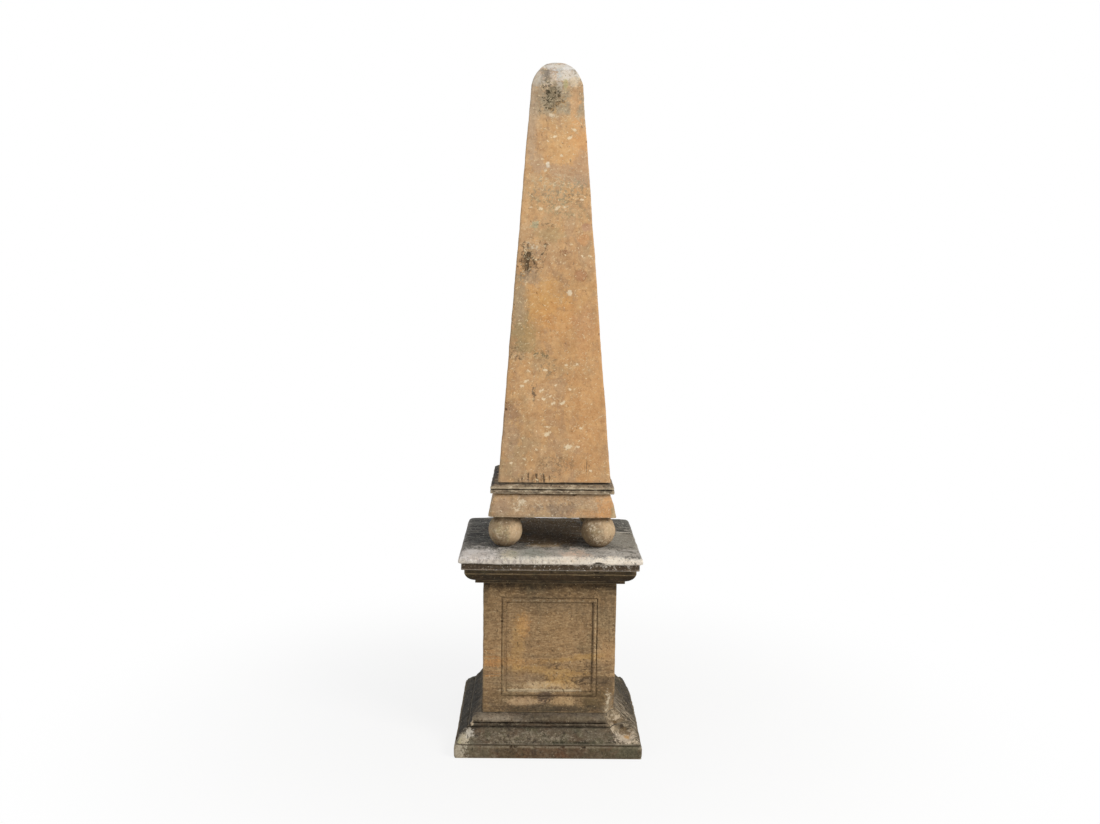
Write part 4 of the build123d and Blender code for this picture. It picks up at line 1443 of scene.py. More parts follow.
SHAFT_STONE = Sandstone(
    name="shaft_sandstone",
    ground=(
        (884, (178, 144, 108)), (950, (180, 145, 105)), (1100, (191, 149, 103)), (1350, (192, 150, 103)),
        (1500, (195, 152, 103)), (1600, (186, 148, 108)), (1700, (190, 153, 112)), (1850, (197, 160, 117)),
        (2000, (203, 164, 121)), (2060, (194, 163, 127)), (2085, (166, 149, 123)), (2130, (152, 138, 116)),
        (2160, (162, 149, 130)), (2166, (192, 183, 168)), (2200, (216, 210, 200)), (2245, (222, 218, 212)),
    ),
    veils=(
        Veil((208, 172, 132), 100, 0.35, 0.35),
        Veil((168, 128, 88), 70, 0.32, 0.3),
        Veil((152, 140, 112), 160, 0.2, 0.35),
        Veil((170, 136, 104), 50, 0.32, 0.45, (1, 1, 1.6), 0.02),
        Veil((206, 162, 112), 45, 0.32, 0.45, (1, 1, 1.6), 0.02),
        Veil((160, 128, 94), 16, 0.32, 0.3),
        Veil((150, 142, 122), 30, 0.3, 0.45, WHOLE, 0.05, Facing.ANY, (2080, 2300), 30),
        Veil((110, 102, 86), 14, 0.24, 0.5, WHOLE, 0.05, Facing.ANY, (2100, 2300), 30),
    ),
    marks=(
        Mark((20, -62, 2225), (30, 80, 14), (226, 223, 218), 0.8, Lie.SOLID, 0.9, 0.8, 0.3),
        Mark((30, -75, 2195), (36, 80, 16), (222, 214, 202), 0.75, Lie.SOLID, 0.9, 0.8, 0.3),
        Mark((-34, -75, 2196), (18, 50, 18), (116, 108, 96), 0.75, Lie.SOLID, 0.9, 0.9, 0.3),
        Mark((58, -80, 2180), (22, 50, 16), (222, 200, 168), 0.6, Lie.SOLID, 0.9, 0.9, 0.3),
        Mark((-60, -60, 2185), (20, 60, 30), (180, 170, 154), 0.65, Lie.SOLID, 0.9, 0.9, 0.3),
        Mark((12, -70, 2208), (10, 50, 22), (184, 187, 184), 0.6, *LOOSE),
        Mark((4, -45, 2232), (18, 50, 10), (222, 210, 192), 0.65, *LOOSE),
        Mark((32, -80, 2168), (9, 50, 22), (178, 172, 118), 0.6, *LOOSE),
        Mark((14, -84, 2155), (10, 50, 26), (200, 193, 182), 0.65, *LOOSE),
        Mark((0, -88, 2118), (78, 50, 46), (162, 148, 124), 0.7, *FRAYED),
        Mark((-16, -88, 2126), (24, 50, 38), (98, 90, 68), 0.55, Lie.SOLID, 1.0, 0.9, 0.4),
        Mark((-19, -86, 2143), (19, 50, 26), (56, 50, 36), 0.92, Lie.SPECKS, 1.0, 0.8),
        Mark((-14, -88, 2118), (36, 50, 40), (60, 52, 36), 0.92, Lie.SPECKS, 1.0, 0.9),
        Mark((62, -90, 2100), (16, 50, 50), (208, 162, 116), 0.6, *EVEN),
        Mark((-78, -92, 2040), (16, 60, 130), (180, 156, 130), 0.65, Lie.SOLID, 0.7, 0.8, 0.4),
        Mark((-7.5, -90, 2068), (10, 40, 6), (218, 200, 172), 0.75),
        Mark((30, -100, 1975), (60, 60, 90), (214, 168, 112), 0.5, *SOFT),
        Mark((85, -100, 1960), (24, 60, 100), (212, 158, 104), 0.5, *SOFT),
        Mark((-22, -103, 1908), (7, 40, 11), (232, 222, 200), 0.9, Lie.SOLID, 0.6, 0.5, 0.2),
        Mark((-30, -103, 1892), (8, 40, 5), (224, 210, 178), 0.75, Lie.SOLID, 0.6, 0.5, 0.2, -45.0),
        Mark((-58, -103, 1918), (22, 40, 36), (176, 148, 120), 0.6, Lie.SOLID, 0.6, 0.6),
        Mark((40, -103, 1880), (70, 60, 22), (172, 142, 116), 0.6, Lie.SOLID, 0.7, 0.8, 0.3, 18.0),
        Mark((88, -103, 1905), (26, 40, 50), (178, 148, 120), 0.6, Lie.SOLID, 0.5, 0.5),
        Mark((10, -110, 1840), (70, 50, 40), (216, 198, 164), 0.65, Lie.SPECKS),
        Mark((20, -112, 1815), (80, 50, 50), (112, 100, 76), 0.6, Lie.SPECKS),
        Mark((0, -116, 1760), (90, 50, 40), (160, 146, 112), 0.5, Lie.SPECKS),
        Mark((105, -118, 1712), (15, 50, 14), (178, 138, 112), 0.7, Lie.SOLID, 0.4, 0.3),
        Mark((94, -120, 1675), (18, 50, 20), (206, 152, 102), 0.55, Lie.SOLID, 0.4, 0.3),
        Mark((-63, -118, 1717), (12, 50, 12), (166, 164, 134), 0.75, Lie.SOLID, 0.8, 0.7),
        Mark((-20, -119, 1718), (30, 50, 6), (104, 92, 70), 0.7, Lie.SPECKS),
        Mark((-10, -121, 1685), (50, 50, 26), (172, 148, 108), 0.6, *BROAD),
        Mark((-66, -124, 1640), (30, 50, 20), (206, 192, 166), 0.7, Lie.SPECKS, 1.0, 0.9),
        Mark((-88, -128, 1592), (20, 50, 44), (112, 92, 66), 0.6, Lie.SOLID, 0.9, 0.8),
        Mark((-88, -128, 1588), (24, 50, 52), (66, 51, 32), 0.92, Lie.DRIPS, 0.9, 0.8),
        Mark((-78, -128, 1592), (34, 50, 56), (84, 70, 52), 0.7, Lie.SPECKS, 0.9, 0.8),
        Mark((-30, -125, 1632), (12, 50, 24), (84, 70, 50), 0.8, Lie.SPECKS),
        Mark((36, -125, 1632), (18, 50, 12), (132, 90, 60), 0.65, Lie.SPECKS),
        Mark((-70, -130, 1550), (30, 50, 26), (166, 144, 118), 0.6, Lie.SOLID, 0.8, 0.8),
        Mark((87, -131, 1558), (21, 50, 21), (148, 106, 72), 0.65, Lie.SOLID, 0.25, 0.2, 0.15),
        Mark((88, -131, 1557), (18, 50, 18), (178, 134, 98), 0.8, Lie.SOLID, 0.25, 0.2, 0.2),
        Mark((20, -133, 1552), (50, 50, 12), (160, 128, 96), 0.6, Lie.SOLID, 0.8, 0.8, 0.3, 40.0),
        Mark((52, -134, 1500), (7, 50, 8), CREAM, 0.8),
        Mark((38, -134, 1510), (14, 50, 6), (136, 116, 88), 0.6, Lie.SPECKS),
        Mark((-30, -138, 1468), (62, 60, 60), (202, 154, 92), 0.6, *SOFT),
        Mark((16, -142, 1417), (60, 60, 50), (200, 146, 90), 0.5, *SOFT),
        Mark((105, -144, 1400), (34, 50, 70), (180, 138, 104), 0.5, *SOFT),
        Mark((-108, -141, 1440), (22, 60, 110), (156, 138, 112), 0.65, *EVEN),
        Mark((-95, -143, 1362), (40, 60, 50), (156, 134, 92), 0.6, *EVEN),
        Mark((-117, -150, 1306), (22, 50, 26), (96, 82, 60), 0.7, Lie.SPECKS),
        Mark((-35, -151, 1303), (26, 50, 12), (104, 98, 74), 0.7, Lie.SPECKS),
        Mark((-15, -155, 1262), (26, 50, 30), (120, 106, 84), 0.55, Lie.SPECKS),
        Mark((-61, -161, 1176), (7, 50, 26), (84, 76, 64), 0.8, Lie.SPECKS),
        Mark((-130, -166, 1112), (24, 50, 30), (148, 112, 86), 0.55, *EVEN),
        Mark((-140, -172, 1030), (30, 50, 60), (166, 138, 112), 0.5, *EVEN),
        Mark((120, -165, 1100), (55, 80, 280), (198, 149, 98), 0.55, Lie.SOLID, 0.8, 0.8, 0.5),
        Mark((-52, -180, 902), (52, 50, 18), (70, 56, 42), 0.85, Lie.DRIPS),
        Mark((10, -178, 940), (50, 50, 36), (118, 100, 76), 0.55, Lie.SPECKS),
        Mark((124, -178, 940), (12, 50, 26), (92, 78, 60), 0.7, Lie.DRIPS),
    ),
    spatters=(
        Spatter(
            on_shaft(
                (-23, 1253), (-98, 1200), (-27, 1158), (58, 1190), (-14, 1068), (-48, 994), (86, 1004),
                (-130, 950), (130, 926), (-43, 1770), (36, 1776), (-73, 1774), (92, 1800), (-2, 2000),
                (118, 1620),
            ),
            3.4,
        ),
        Spatter(
            on_shaft(
                (-85, 1215), (12, 1204), (-6, 1168), (4, 1144), (30, 1145), (-14, 1040), (50, 1005),
                (11, 1773), (50, 2000), (-34, 1186),
            ),
            3.6, -32.0, 2.2,
        ),
        Spatter(
            on_shaft(
                (-86, 962), (96, 1064), (80, 1272), (44, 1268), (62, 2022), (20, 1940), (-22, 1985),
                (92, 1620), (-76, 1248),
            ),
            3, 26.0,
        ),
        Spatter(on_shaft((-16, 1044), (32, 1147), (54, 1003)), 5.4, -30.0, 2.2),
    ),
    bedding=0.1, drips=0.1, drip_colour=(140, 112, 82), mottle=0.5, grit=0.18, flecks=0.3,
    fleck_colour=(224, 204, 166), specks=0.12, speck_colour=(120, 98, 70), worn=0.35,
    worn_colour=(206, 180, 146), recess_dirt_and_shade=0.4, recess_dirt_and_shade_colour=(92, 74, 54), bump=0.7,
)


@dataclass(frozen=True)
class Pedestal:
    """Plinth, raking course, base mouldings and panelled die."""

    arris: float = 0.003
    rake_riser: float = 0.003
    rake_top: float = 0.246
    neck_half: float = 0.236
    neck_height: float = 0.0055
    fillet_half: float = 0.243
    fillet_height: float = 0.008
    quirk: float = 0.0025
    roll_radius: float = 0.01175
    splay_reach: float = 0.008
    corner_return: float = 0.025
    break_radius: float = 0.090
    break_offset: Triple = (0.054, -0.0385, 0.0155)
    worn_planes: tuple[tuple[Triple, Triple], ...] = (
        ((0.295, 0.2525, 0.041), (0.982, 0.187, 0.0)),
        ((0.295, 0.2525, 0.041), (0.84, 0.08, 0.54)),
        ((0.270, 0.245, 0.073), (0.60, 0.06, 0.80)),
    )
    panel_width: float = 0.316
    panel_height: float = 0.336
    panel_quirk: float = 0.0035
    bead_width: float = 0.0135
    field_depth: float = 0.0055
    columns: int = 96

    def splay(self, level: float) -> float:
        """Half width of the base at a level, on its worn left and right."""
        rake = Seat.of("raking_course")
        foot = rake.foot + self.rake_riser
        head = Seat.of("base_moulding").head
        share = (level - foot) / (head - foot)
        top = Seat.of("die").half_width + self.splay_reach
        return rake.half_width + share * (top - rake.half_width)

    def corner_break(self) -> Break:
        """Lump that has come off the front right corner of base and die."""
        die = Seat.of("die")
        side, front, rise = self.break_offset
        centre = (die.half_width + side, front - die.half_width, die.foot + rise)
        return Break(centre, (self.break_radius,) * 3, 0.09, detail=5)

    def break_corner(self, piece: bpy.types.Object) -> None:
        """Take the front right corner off a piece."""
        knock_off(piece, [self.corner_break()], CORNER_SEED)

    def trim_back(self, stone: Stone) -> None:
        """Take off the back right corner of the base, as far as it is worn away."""
        start = Seat.of("die").half_width
        for point, normal in self.worn_planes:
            stone.trim(Vector(point), Vector(normal), start)

    def plinth(self) -> bpy.types.Object:
        """Square plinth, its upper arris worn and its back right corner gone."""
        seat = Seat.of("plinth_course")
        half = seat.half_width
        rings = [
            square(half - self.arris * 0.5, seat.foot),
            square(half, seat.foot + self.arris),
            square(half, seat.head - self.arris),
            square(half - self.arris * 0.4, seat.head - self.arris * 0.4),
            square(half - self.arris * 1.3, seat.head),
            square(half - 0.05, seat.head),
        ]
        stone = Stone("plinth", 3)
        stone.loft(filled_in(rings, 0.0065), 0.005, self.columns)
        self.trim_back(stone)
        stone.keep_flat(square(half, seat.foot))
        stone.keep_flat(square(half - 0.04, seat.head))
        stone.wear(4, 0.6, 0.05)
        stone.roughen(Relief(0.0012, 0.0009, 0.0004), self.side_roughness())
        piece = stone.finish(PLINTH_STONE.build())
        return chip(piece, 26, (0.003, 0.009), 31, (0.01, 0.06))

    def raking_stone(self) -> bpy.types.Object:
        """Raking course, its left and right worn to a steeper splay."""
        seat = Seat.of("raking_course")
        foot = seat.half_width
        riser = seat.foot + self.rake_riser
        rings = [
            square(foot - 0.001, seat.foot),
            square(foot, seat.foot + 0.001),
            square(foot, riser),
            Ring(self.splay(seat.head - 0.001), self.rake_top + 0.0017, seat.head - 0.001),
            Ring(self.splay(seat.head) - 0.001, self.rake_top - 0.001, seat.head),
            Ring(self.splay(seat.head) - 0.014, self.rake_top - 0.014, seat.head),
        ]
        stone = Stone("raking_stone", 5)
        stone.loft(filled_in(rings, 0.0065), 0.005, self.columns)
        self.trim_back(stone)
        stone.keep_flat(square(foot, seat.foot))
        stone.keep_flat(Ring(self.splay(seat.head) - 0.012, self.rake_top - 0.012, seat.head))
        stone.wear(3, 0.6, 0.05)
        stone.roughen(Relief(0.0012, 0.0011, 0.0005), self.side_roughness())
        piece = stone.finish(RAKE_STONE.build())
        self.break_corner(piece)
        scoop = Break((0.252, -0.274, 0.079), (0.041, 0.032, 0.028), 0.14, detail=4)
        knock_off(piece, [scoop], 12)
        return chip(piece, 18, (0.003, 0.008), 32, (0.05, 0.08))

    def side_roughness(self) -> list[Rough]:
        """Parts of the base that are broken rough on its left and right."""
        return [
            Rough((0.275, 0.02, 0.085), (0.055, 0.30, 0.055), 0.0038, 0.026, (3.0, 1.0, 3.0)),
            Rough((-0.270, 0.02, 0.085), (0.055, 0.30, 0.055), 0.0012, 0.022, (3.0, 1.0, 3.0)),
        ]

    def mouldings(self) -> bpy.types.Object:
        """Neck, fillet and roll at front and back, worn off left and right."""
        seat = Seat.of("base_moulding")
        neck_top = seat.foot + self.neck_height
        fillet_top = neck_top + self.fillet_height
        roll_foot = fillet_top + self.quirk
        roll_half = seat.half_depth - self.roll_radius
        soft = 0.0004
        front = [
            (self.neck_half, seat.foot),
            (self.neck_half, neck_top - soft),
            (self.fillet_half - soft, neck_top),
            (self.fillet_half, neck_top + soft),
            (self.fillet_half, fillet_top - 2 * soft),
            (self.fillet_half - soft, fillet_top - soft),
            (self.neck_half, fillet_top),
            (self.neck_half, roll_foot),
        ]
        arc = swept(square(roll_half, roll_foot + self.roll_radius), self.roll_radius, -88.0, 90.0, 12)
        front.extend((ring.depth, ring.level) for ring in arc)
        front.append((roll_half - 0.016, seat.head + 0.00001))
        rings = [Ring(self.splay(level), depth, level) for depth, level in front]
        last = rings[-1]
        rings[-1] = Ring(last.width - 0.010, last.depth, last.level)
        stone = Stone("base_mouldings", 8)
        stone.loft(filled_in(rings, 0.006), 0.004, self.columns)
        self.trim_back(stone)
        stone.keep_flat(Ring(self.splay(seat.foot), self.neck_half, seat.foot))
        stone.keep_flat(Ring(last.width, roll_half - 0.002, seat.head))
        stone.wear(2, 0.5, 0.06)
        stone.roughen(Relief(0.0010, 0.0009, 0.0004), self.side_roughness())
        material = BASE_STONE.build()
        piece = stone.finish(material)
        cut_with(piece, self.roll_return(roll_foot, roll_half, material), "UNION")
        self.break_corner(piece)
        left_end = Break((-0.264, -0.246, 0.098), (0.014, 0.022, 0.020), 0.2, (0.0, 0.2, 0.5))
        knock_off(piece, [left_end], 51)
        return chip(piece, 16, (0.002, 0.006), 33, (0.085, 0.118))

    def roll_return(
        self, roll_foot: float, roll_half: float, material: bpy.types.Material
    ) -> bpy.types.Object:
        """Short end of the roll that is left round the front left corner."""
        inner = self.corner_return - self.roll_radius
        centre = square(inner, roll_foot + self.roll_radius)
        rings = swept(centre, self.roll_radius - 0.0004, -80.0, 80.0, 10)
        stone = Stone("roll_return", 9)
        stone.loft(rings, 0.004, 8)
        out = roll_half - inner
        stone.move(Vector((-out, -out, 0.0)))
        stone.roughen(Relief(0.0004, 0.0006, 0.0003))
        return stone.finish(material)

    def die(self) -> bpy.types.Object:
        """Die with a sunk panel in each face: quirk, bead and field."""
        seat = Seat.of("die")
        stone = Stone("die_stone", 11)
        mesh = stone.mesh
        size = Matrix.Diagonal((2 * seat.half_width, 2 * seat.half_width, seat.head - seat.foot, 1.0))
        lift = Matrix.Translation((0.0, 0.0, (seat.foot + seat.head) / 2))
        bmesh.ops.create_cube(mesh, size=1.0, matrix=lift @ size)
        upright = [edge for edge in mesh.edges if abs(edge.verts[0].co.z - edge.verts[1].co.z) > ACROSS_DIE]
        bmesh.ops.bevel(
            mesh,
            geom=upright,
            offset=0.004,
            offset_type="OFFSET",
            segments=3,
            profile=0.5,
            affect="EDGES",
            material=-1,
        )
        sides = [face for face in mesh.faces if face.calc_area() > ACROSS_DIE and abs(face.normal.z) < 0.5]
        for face in sides:
            self.sink_panel(mesh, face)
        self.cut_to_grid(mesh)
        stone.close()
        stone.keep_flat(square(seat.half_width, seat.foot))
        stone.keep_flat(square(seat.half_width, seat.head))
        stone.wear(3, 0.55, 0.04)
        stone.roughen(Relief(0.0010, 0.0008, 0.0004))
        piece = stone.finish(DIE_STONE.build())
        self.break_corner(piece)
        return chip(piece, 22, (0.002, 0.007), 34, (0.14, 0.55))

    def sink_panel(self, mesh: bmesh.types.BMesh, face: bmesh.types.BMFace) -> None:
        """Inset one face of the die step by step, from the margin to the field."""
        margin = face.calc_perimeter() / 8 - (self.panel_width + self.panel_height) / 4
        bmesh.ops.inset_individual(mesh, faces=[face], thickness=margin, depth=0.0, use_even_offset=True)
        self.fit(mesh, face, self.panel_width, self.panel_height)
        steps = [(0.0005, -self.panel_quirk), (self.panel_quirk - 0.0010, 0.0), (0.0005, 0.0006)]
        parts = 10
        along, height = 0.0, -self.panel_quirk
        for part in range(1, parts + 1):
            angle = math.pi * part / parts
            out = self.bead_width / 2 * (1.0 - math.cos(angle))
            base = -self.panel_quirk if part <= parts / 2 else -self.field_depth
            up = base - base * math.sin(angle)
            steps.append((out - along, up - height))
            along, height = out, up
        for thickness, depth in steps:
            bmesh.ops.inset_individual(
                mesh, faces=[face], thickness=thickness, depth=depth, use_even_offset=True
            )

    def fit(self, mesh: bmesh.types.BMesh, face: bmesh.types.BMFace, width: float, height: float) -> None:
        """Bring an upright face to a width and a height about its middle."""
        middle = face.calc_center_median()
        across = max((vert.co - middle).to_2d().length for vert in face.verts)
        tall = max(abs(vert.co.z - middle.z) for vert in face.verts)
        sideways = width / 2 / across
        centre = Matrix.Translation(-middle)
        growth = (
            1.0 if abs(face.normal.x) > 0.5 else sideways,
            1.0 if abs(face.normal.y) > 0.5 else sideways,
            height / 2 / tall,
        )
        bmesh.ops.scale(mesh, vec=growth, space=centre, verts=list(face.verts))

    def cut_to_grid(self, mesh: bmesh.types.BMesh) -> None:
        """Cut the die's faces into small parts, so that wear can shape them."""
        long_edges = [edge for edge in mesh.edges if edge.calc_length() > 0.2]
        bmesh.ops.subdivide_edges(mesh, edges=long_edges, cuts=69, use_grid_fill=True)
        margins = [
            edge
            for edge in mesh.edges
            if edge.calc_length() > 0.03 and len(edge.link_faces) == 2 and not edge.is_boundary
            and all(len(face.verts) == 4 for face in edge.link_faces)
        ]
        bmesh.ops.subdivide_edges(mesh, edges=margins, cuts=9, use_grid_fill=True)

    def assemble(self) -> None:
        """Build and hand over the pieces."""
        hand_over(self.plinth(), "sandstone_base", "plinth_course")
        hand_over(self.raking_stone(), "sandstone_base", "raking_course")
        hand_over(self.mouldings(), "sandstone_base", "base_moulding")
        hand_over(self.die(), "sandstone_pedestal", "die")


@dataclass(frozen=True)
class Capping:
    """Bed moulding and capping slab."""

    lower_fillet: float = 0.009
    ovolo_step: float = 0.003
    ovolo_run: float = 0.031
    ovolo_rise: float = 0.029
    ovolo_swell: float = 0.005
    fascia_height: float = 0.020
    lip_reach: float = 0.0095
    undercut: float = 0.004
    lip_height: float = 0.005
    crown: float = 0.018
    crown_run: float = 0.070
    back_reach: float = 0.035
    back_rubs: int = 10
    columns: int = 92

    def cornice(self) -> bpy.types.Object:
        """Fillet, flat ovolo and fillet."""
        seat = Seat.of("bed_moulding")
        top = seat.half_width
        ovolo_foot = top - self.ovolo_run
        fillet = ovolo_foot - self.ovolo_step
        fillet_top = seat.foot + self.lower_fillet
        soft = 0.0005
        rings = [
            square(fillet, seat.foot),
            square(fillet, fillet_top - soft),
            square(fillet + soft, fillet_top),
            *self.ovolo(square(ovolo_foot, fillet_top), square(top, fillet_top + self.ovolo_rise)),
            square(top, seat.head - 0.001),
            square(top - 0.001, seat.head),
            square(top - 0.02, seat.head),
        ]
        stone = Stone("cornice", 13)
        stone.loft(filled_in(rings, 0.006), 0.004, self.columns)
        stone.keep_flat(square(fillet, seat.foot))
        stone.keep_flat(square(top - 0.01, seat.head))
        stone.wear(2, 0.5, 0.05)
        stone.roughen(Relief(0.0010, 0.0008, 0.0004))
        piece = stone.finish(CORNICE_STONE.build())
        return chip(piece, 14, (0.002, 0.006), 35, (0.575, 0.615))

    def ovolo(self, foot: Ring, head: Ring, steps: int = 10) -> list[Ring]:
        """Rings of a flat ovolo.

        Args:
            foot: Ring that it starts from.
            head: Ring that it ends at.
            steps: Number of parts between the two.

        Returns:
            The rings from foot to head.
        """
        run, rise = head.width - foot.width, head.level - foot.level
        chord = math.hypot(run, rise)
        rings = []
        for step in range(steps + 1):
            share = step / steps
            swell = 4.0 * self.ovolo_swell * share * (1.0 - share) / chord
            half = foot.width + run * share + rise * swell
            rings.append(square(half, foot.level + rise * share - run * swell))
        return rings

    def slab(self) -> bpy.types.Object:
        """Capping slab: fascia, lip and weathered top."""
        seat = Seat.of("capping_slab")
        lip = seat.half_width
        fascia = lip - self.lip_reach
        fascia_top = seat.foot + self.fascia_height
        lip_foot = fascia_top + self.undercut
        lip_top = lip_foot + self.lip_height
        rings = [
            square(fascia, seat.foot),
            square(fascia, fascia_top - 0.0005),
            square(fascia + 0.0005, fascia_top),
            square(lip - 0.001, lip_foot - 0.0003),
            square(lip, lip_foot + 0.001),
            *swept(square(lip - self.crown, lip_top), self.crown, 0.0, 90.0, 9),
        ]
        rings = filled_in(rings, 0.006)
        table = square(lip - self.crown - self.crown_run, seat.head)
        rings += filled_in([rings[-1], table, square(0.02, seat.head)], 0.008)[1:]
        stone = Stone("capping", 17)
        stone.loft(rings, 0.006, self.columns, 4)
        stone.keep_flat(square(fascia, seat.foot))
        stone.wear(1, 0.6, 0.05)
        self.soften_back(stone, lip)
        hog = Rough((0.0, 0.275, seat.head), (0.23, 0.075, 0.03), 0.0034, 9.0)
        stone.roughen(Relief(0.0012, 0.0008, 0.0005), [hog])
        piece = stone.finish(SLAB_STONE.build())
        losses = [
            Break((0.262, -0.045, 0.6715), (0.068, 0.108, 0.0090), 0.05, (-0.02, 0.0, 0.0), 5),
            Break((0.155, -0.298, 0.6440), (0.020, 0.012, 0.0085), 0.22, detail=4),
        ]
        knock_off(piece, losses, 61)
        return chip(piece, 16, (0.002, 0.006), 36, (0.63, 0.650))

    def soften_back(self, stone: Stone, lip: float) -> None:
        """Round the two back corners of the slab, which are worn more than the front ones."""
        start = lip - self.back_reach
        back = [vert for vert in stone.mesh.verts if vert.co.y > start and abs(vert.co.x) > start]
        for _ in range(self.back_rubs):
            stone.rub(back)

    def assemble(self) -> None:
        """Build and hand over the pieces."""
        hand_over(self.cornice(), "sandstone_pedestal", "bed_moulding")
        hand_over(self.slab(), "sandstone_capping", "capping_slab")


@dataclass(frozen=True)
class BallFeet:
    """Four stone balls between the capping and the block."""

    names: tuple[str, ...] = ("front_left", "front_right", "back_left", "back_right")
    diameter: float = 0.112

    def ball(self, name: str, seed: int, material: bpy.types.Material) -> bpy.types.Object:
        """One pitted ball with a flat seat above and below."""
        seat = Seat.of(f"ball_{name}")
        stone = Stone(f"ball_stone_{name}", seed)
        middle = seat.middle + Vector((0.0, 0.0, (seat.foot + seat.head) / 2))
        bmesh.ops.create_icosphere(stone.mesh, subdivisions=5, radius=self.diameter / 2)
        stone.move(middle)
        stone.roughen(Relief(0.0018, 0.0012, 0.0005, 0.06, 0.02, 0.007))
        for level, way in ((seat.foot, -1.0), (seat.head, 1.0)):
            stone.slice_off(Vector((0.0, 0.0, level)), Vector((0.0, 0.0, way)))
        return stone.finish(material)

    def assemble(self) -> None:
        """Build and hand over the pieces."""
        material = BALL_STONE.build()
        for seed, name in enumerate(self.names, 23):
            hand_over(self.ball(name, seed, material), "sandstone_obelisk", f"ball_{name}")


@dataclass(frozen=True)
class Obelisk:
    """Block, band and shaft with its domed head."""

    splay_run: float = 0.009
    splay_height: float = 0.0436
    corner_cut: float = 0.012
    band_lower: float = 0.012
    band_groove: float = 0.0035
    groove_depth: float = 0.005
    weathering_run: float = 0.012
    weathering_rise: float = 0.007
    shoulder_run: float = 0.0135
    head_half: float = 0.0831
    head_rise: float = 0.0823
    head_lean: float = 13.0
    head_fullness: float = 0.040
    crown_half: float = 0.003
    lean: float = 0.27

    def block(self) -> bpy.types.Object:
        """Block with two splays and worn foot corners."""
        seat = Seat.of("obelisk_block")
        foot = seat.half_width
        bend = foot - self.splay_run
        head = bend - self.shoulder_run
        bend_level = seat.foot + self.splay_height
        rings = [
            square(foot - 0.02, seat.foot),
            square(foot - 0.0015, seat.foot),
            square(foot, seat.foot + 0.0015),
            square(bend + 0.0004, bend_level - 0.002),
            square(bend - 0.0009, bend_level + 0.002),
            square(head, seat.head),
            square(head - 0.02, seat.head),
        ]
        stone = Stone("block", 29)
        stone.loft(filled_in(rings, 0.006), 0.003, 68)
        self.cut_corners(stone, seat, bend)
        stone.move(seat.middle)
        stone.keep_flat(Ring(seat.middle.x + foot - 0.018, foot - 0.018, seat.foot))
        stone.keep_flat(Ring(seat.middle.x + head - 0.018, head - 0.018, seat.head))
        stone.wear(3, 0.6, 0.05)
        stone.roughen(Relief(0.0011, 0.0009, 0.0004))
        piece = stone.finish(BLOCK_STONE.build())
        return chip(piece, 20, (0.002, 0.008), 37, (0.776, 0.85))

    def cut_corners(self, stone: Stone, seat: Seat, bend: float) -> None:
        """Cut the four foot corners of the block to narrow facets that run out at the bend."""
        out = (2 * seat.half_width - self.corner_cut) / math.sqrt(2)
        slope = (out - bend * math.sqrt(2)) / self.splay_height
        for quarter in range(4):
            angle = SQUARE_TURN * (2 * quarter + 1)
            way = Vector((math.cos(angle), math.sin(angle), slope))
            stone.slice_off(Vector((way.x * out, way.y * out, seat.foot)), way)

    def band(self) -> bpy.types.Object:
        """Band: lower fillet, groove and weathered upper fillet."""
        seat = Seat.of("band")
        half = seat.half_width
        groove_foot = seat.foot + self.band_lower
        groove_head = groove_foot + self.band_groove
        groove = half - self.groove_depth
        soft = 0.0011
        rings = [
            square(half - 0.02, seat.foot),
            square(half - soft, seat.foot),
            square(half, seat.foot + soft),
            square(half, groove_foot - soft),
            square(half - soft, groove_foot),
            square(groove, groove_foot + 0.0002),
            square(groove, groove_head - 0.0002),
            square(half - soft, groove_head),
            square(half, groove_head + soft),
            square(half - 0.0003, seat.head - self.weathering_rise),
            square(half - self.weathering_run, seat.head),
            square(half - self.weathering_run - 0.03, seat.head),
        ]
        stone = Stone("band_course", 31)
        stone.loft(filled_in(rings, 0.006), 0.003, 66)
        stone.move(seat.middle)
        stone.wear(2, 0.6, 0.05)
        stone.roughen(Relief(0.0008, 0.0006, 0.0003))
        piece = stone.finish(BAND_STONE.build())
        return chip(piece, 18, (0.002, 0.0055), 38, (0.85, 0.882))

    def shaft(self) -> bpy.types.Object:
        """Tapered shaft with its four-sided domed head, leaning a little."""
        seat = Seat.of("shaft")
        foot = seat.half_depth
        spring = seat.head - self.head_rise
        lean = math.radians(self.head_lean)
        curve = interpolate_bezier(
            (self.head_half, 0.0, spring),
            (
                self.head_half - self.head_fullness * math.sin(lean),
                0.0,
                spring + self.head_fullness * math.cos(lean),
            ),
            (self.crown_half + self.head_fullness, 0.0, seat.head),
            (self.crown_half, 0.0, seat.head),
            22,
        )
        rings = filled_in([square(foot, seat.foot), square(self.head_half, spring)], 0.0068)
        rings += [square(point.x, point.z) for point in curve[1:]]
        stone = Stone("shaft_stone", 37)
        stone.loft(rings, 0.005, 54, 3)
        stone.wear(5, 0.75, 0.06)
        foot_level = Matrix.Translation((0.0, 0.0, seat.foot))
        turn = Matrix.Rotation(math.radians(-self.lean), 4, "Y")
        bmesh.ops.transform(
            stone.mesh, matrix=foot_level @ turn @ foot_level.inverted(), verts=list(stone.mesh.verts)
        )
        low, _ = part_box("shaft")
        stone.move(Vector((low.x + foot, 0.0, 0.0)))
        stone.roughen(Relief(0.0013, 0.0009, 0.0004))
        for vert in stone.mesh.verts:
            vert.co.z = max(vert.co.z, seat.foot)
        piece = stone.finish(SHAFT_STONE.build())
        return chip(piece, 30, (0.002, 0.007), 39, (0.90, 2.16))

    def assemble(self) -> None:
        """Build and hand over the pieces."""
        hand_over(self.block(), "sandstone_obelisk", "obelisk_block")
        hand_over(self.band(), "sandstone_obelisk", "band")
        hand_over(self.shaft(), "sandstone_obelisk", "shaft")


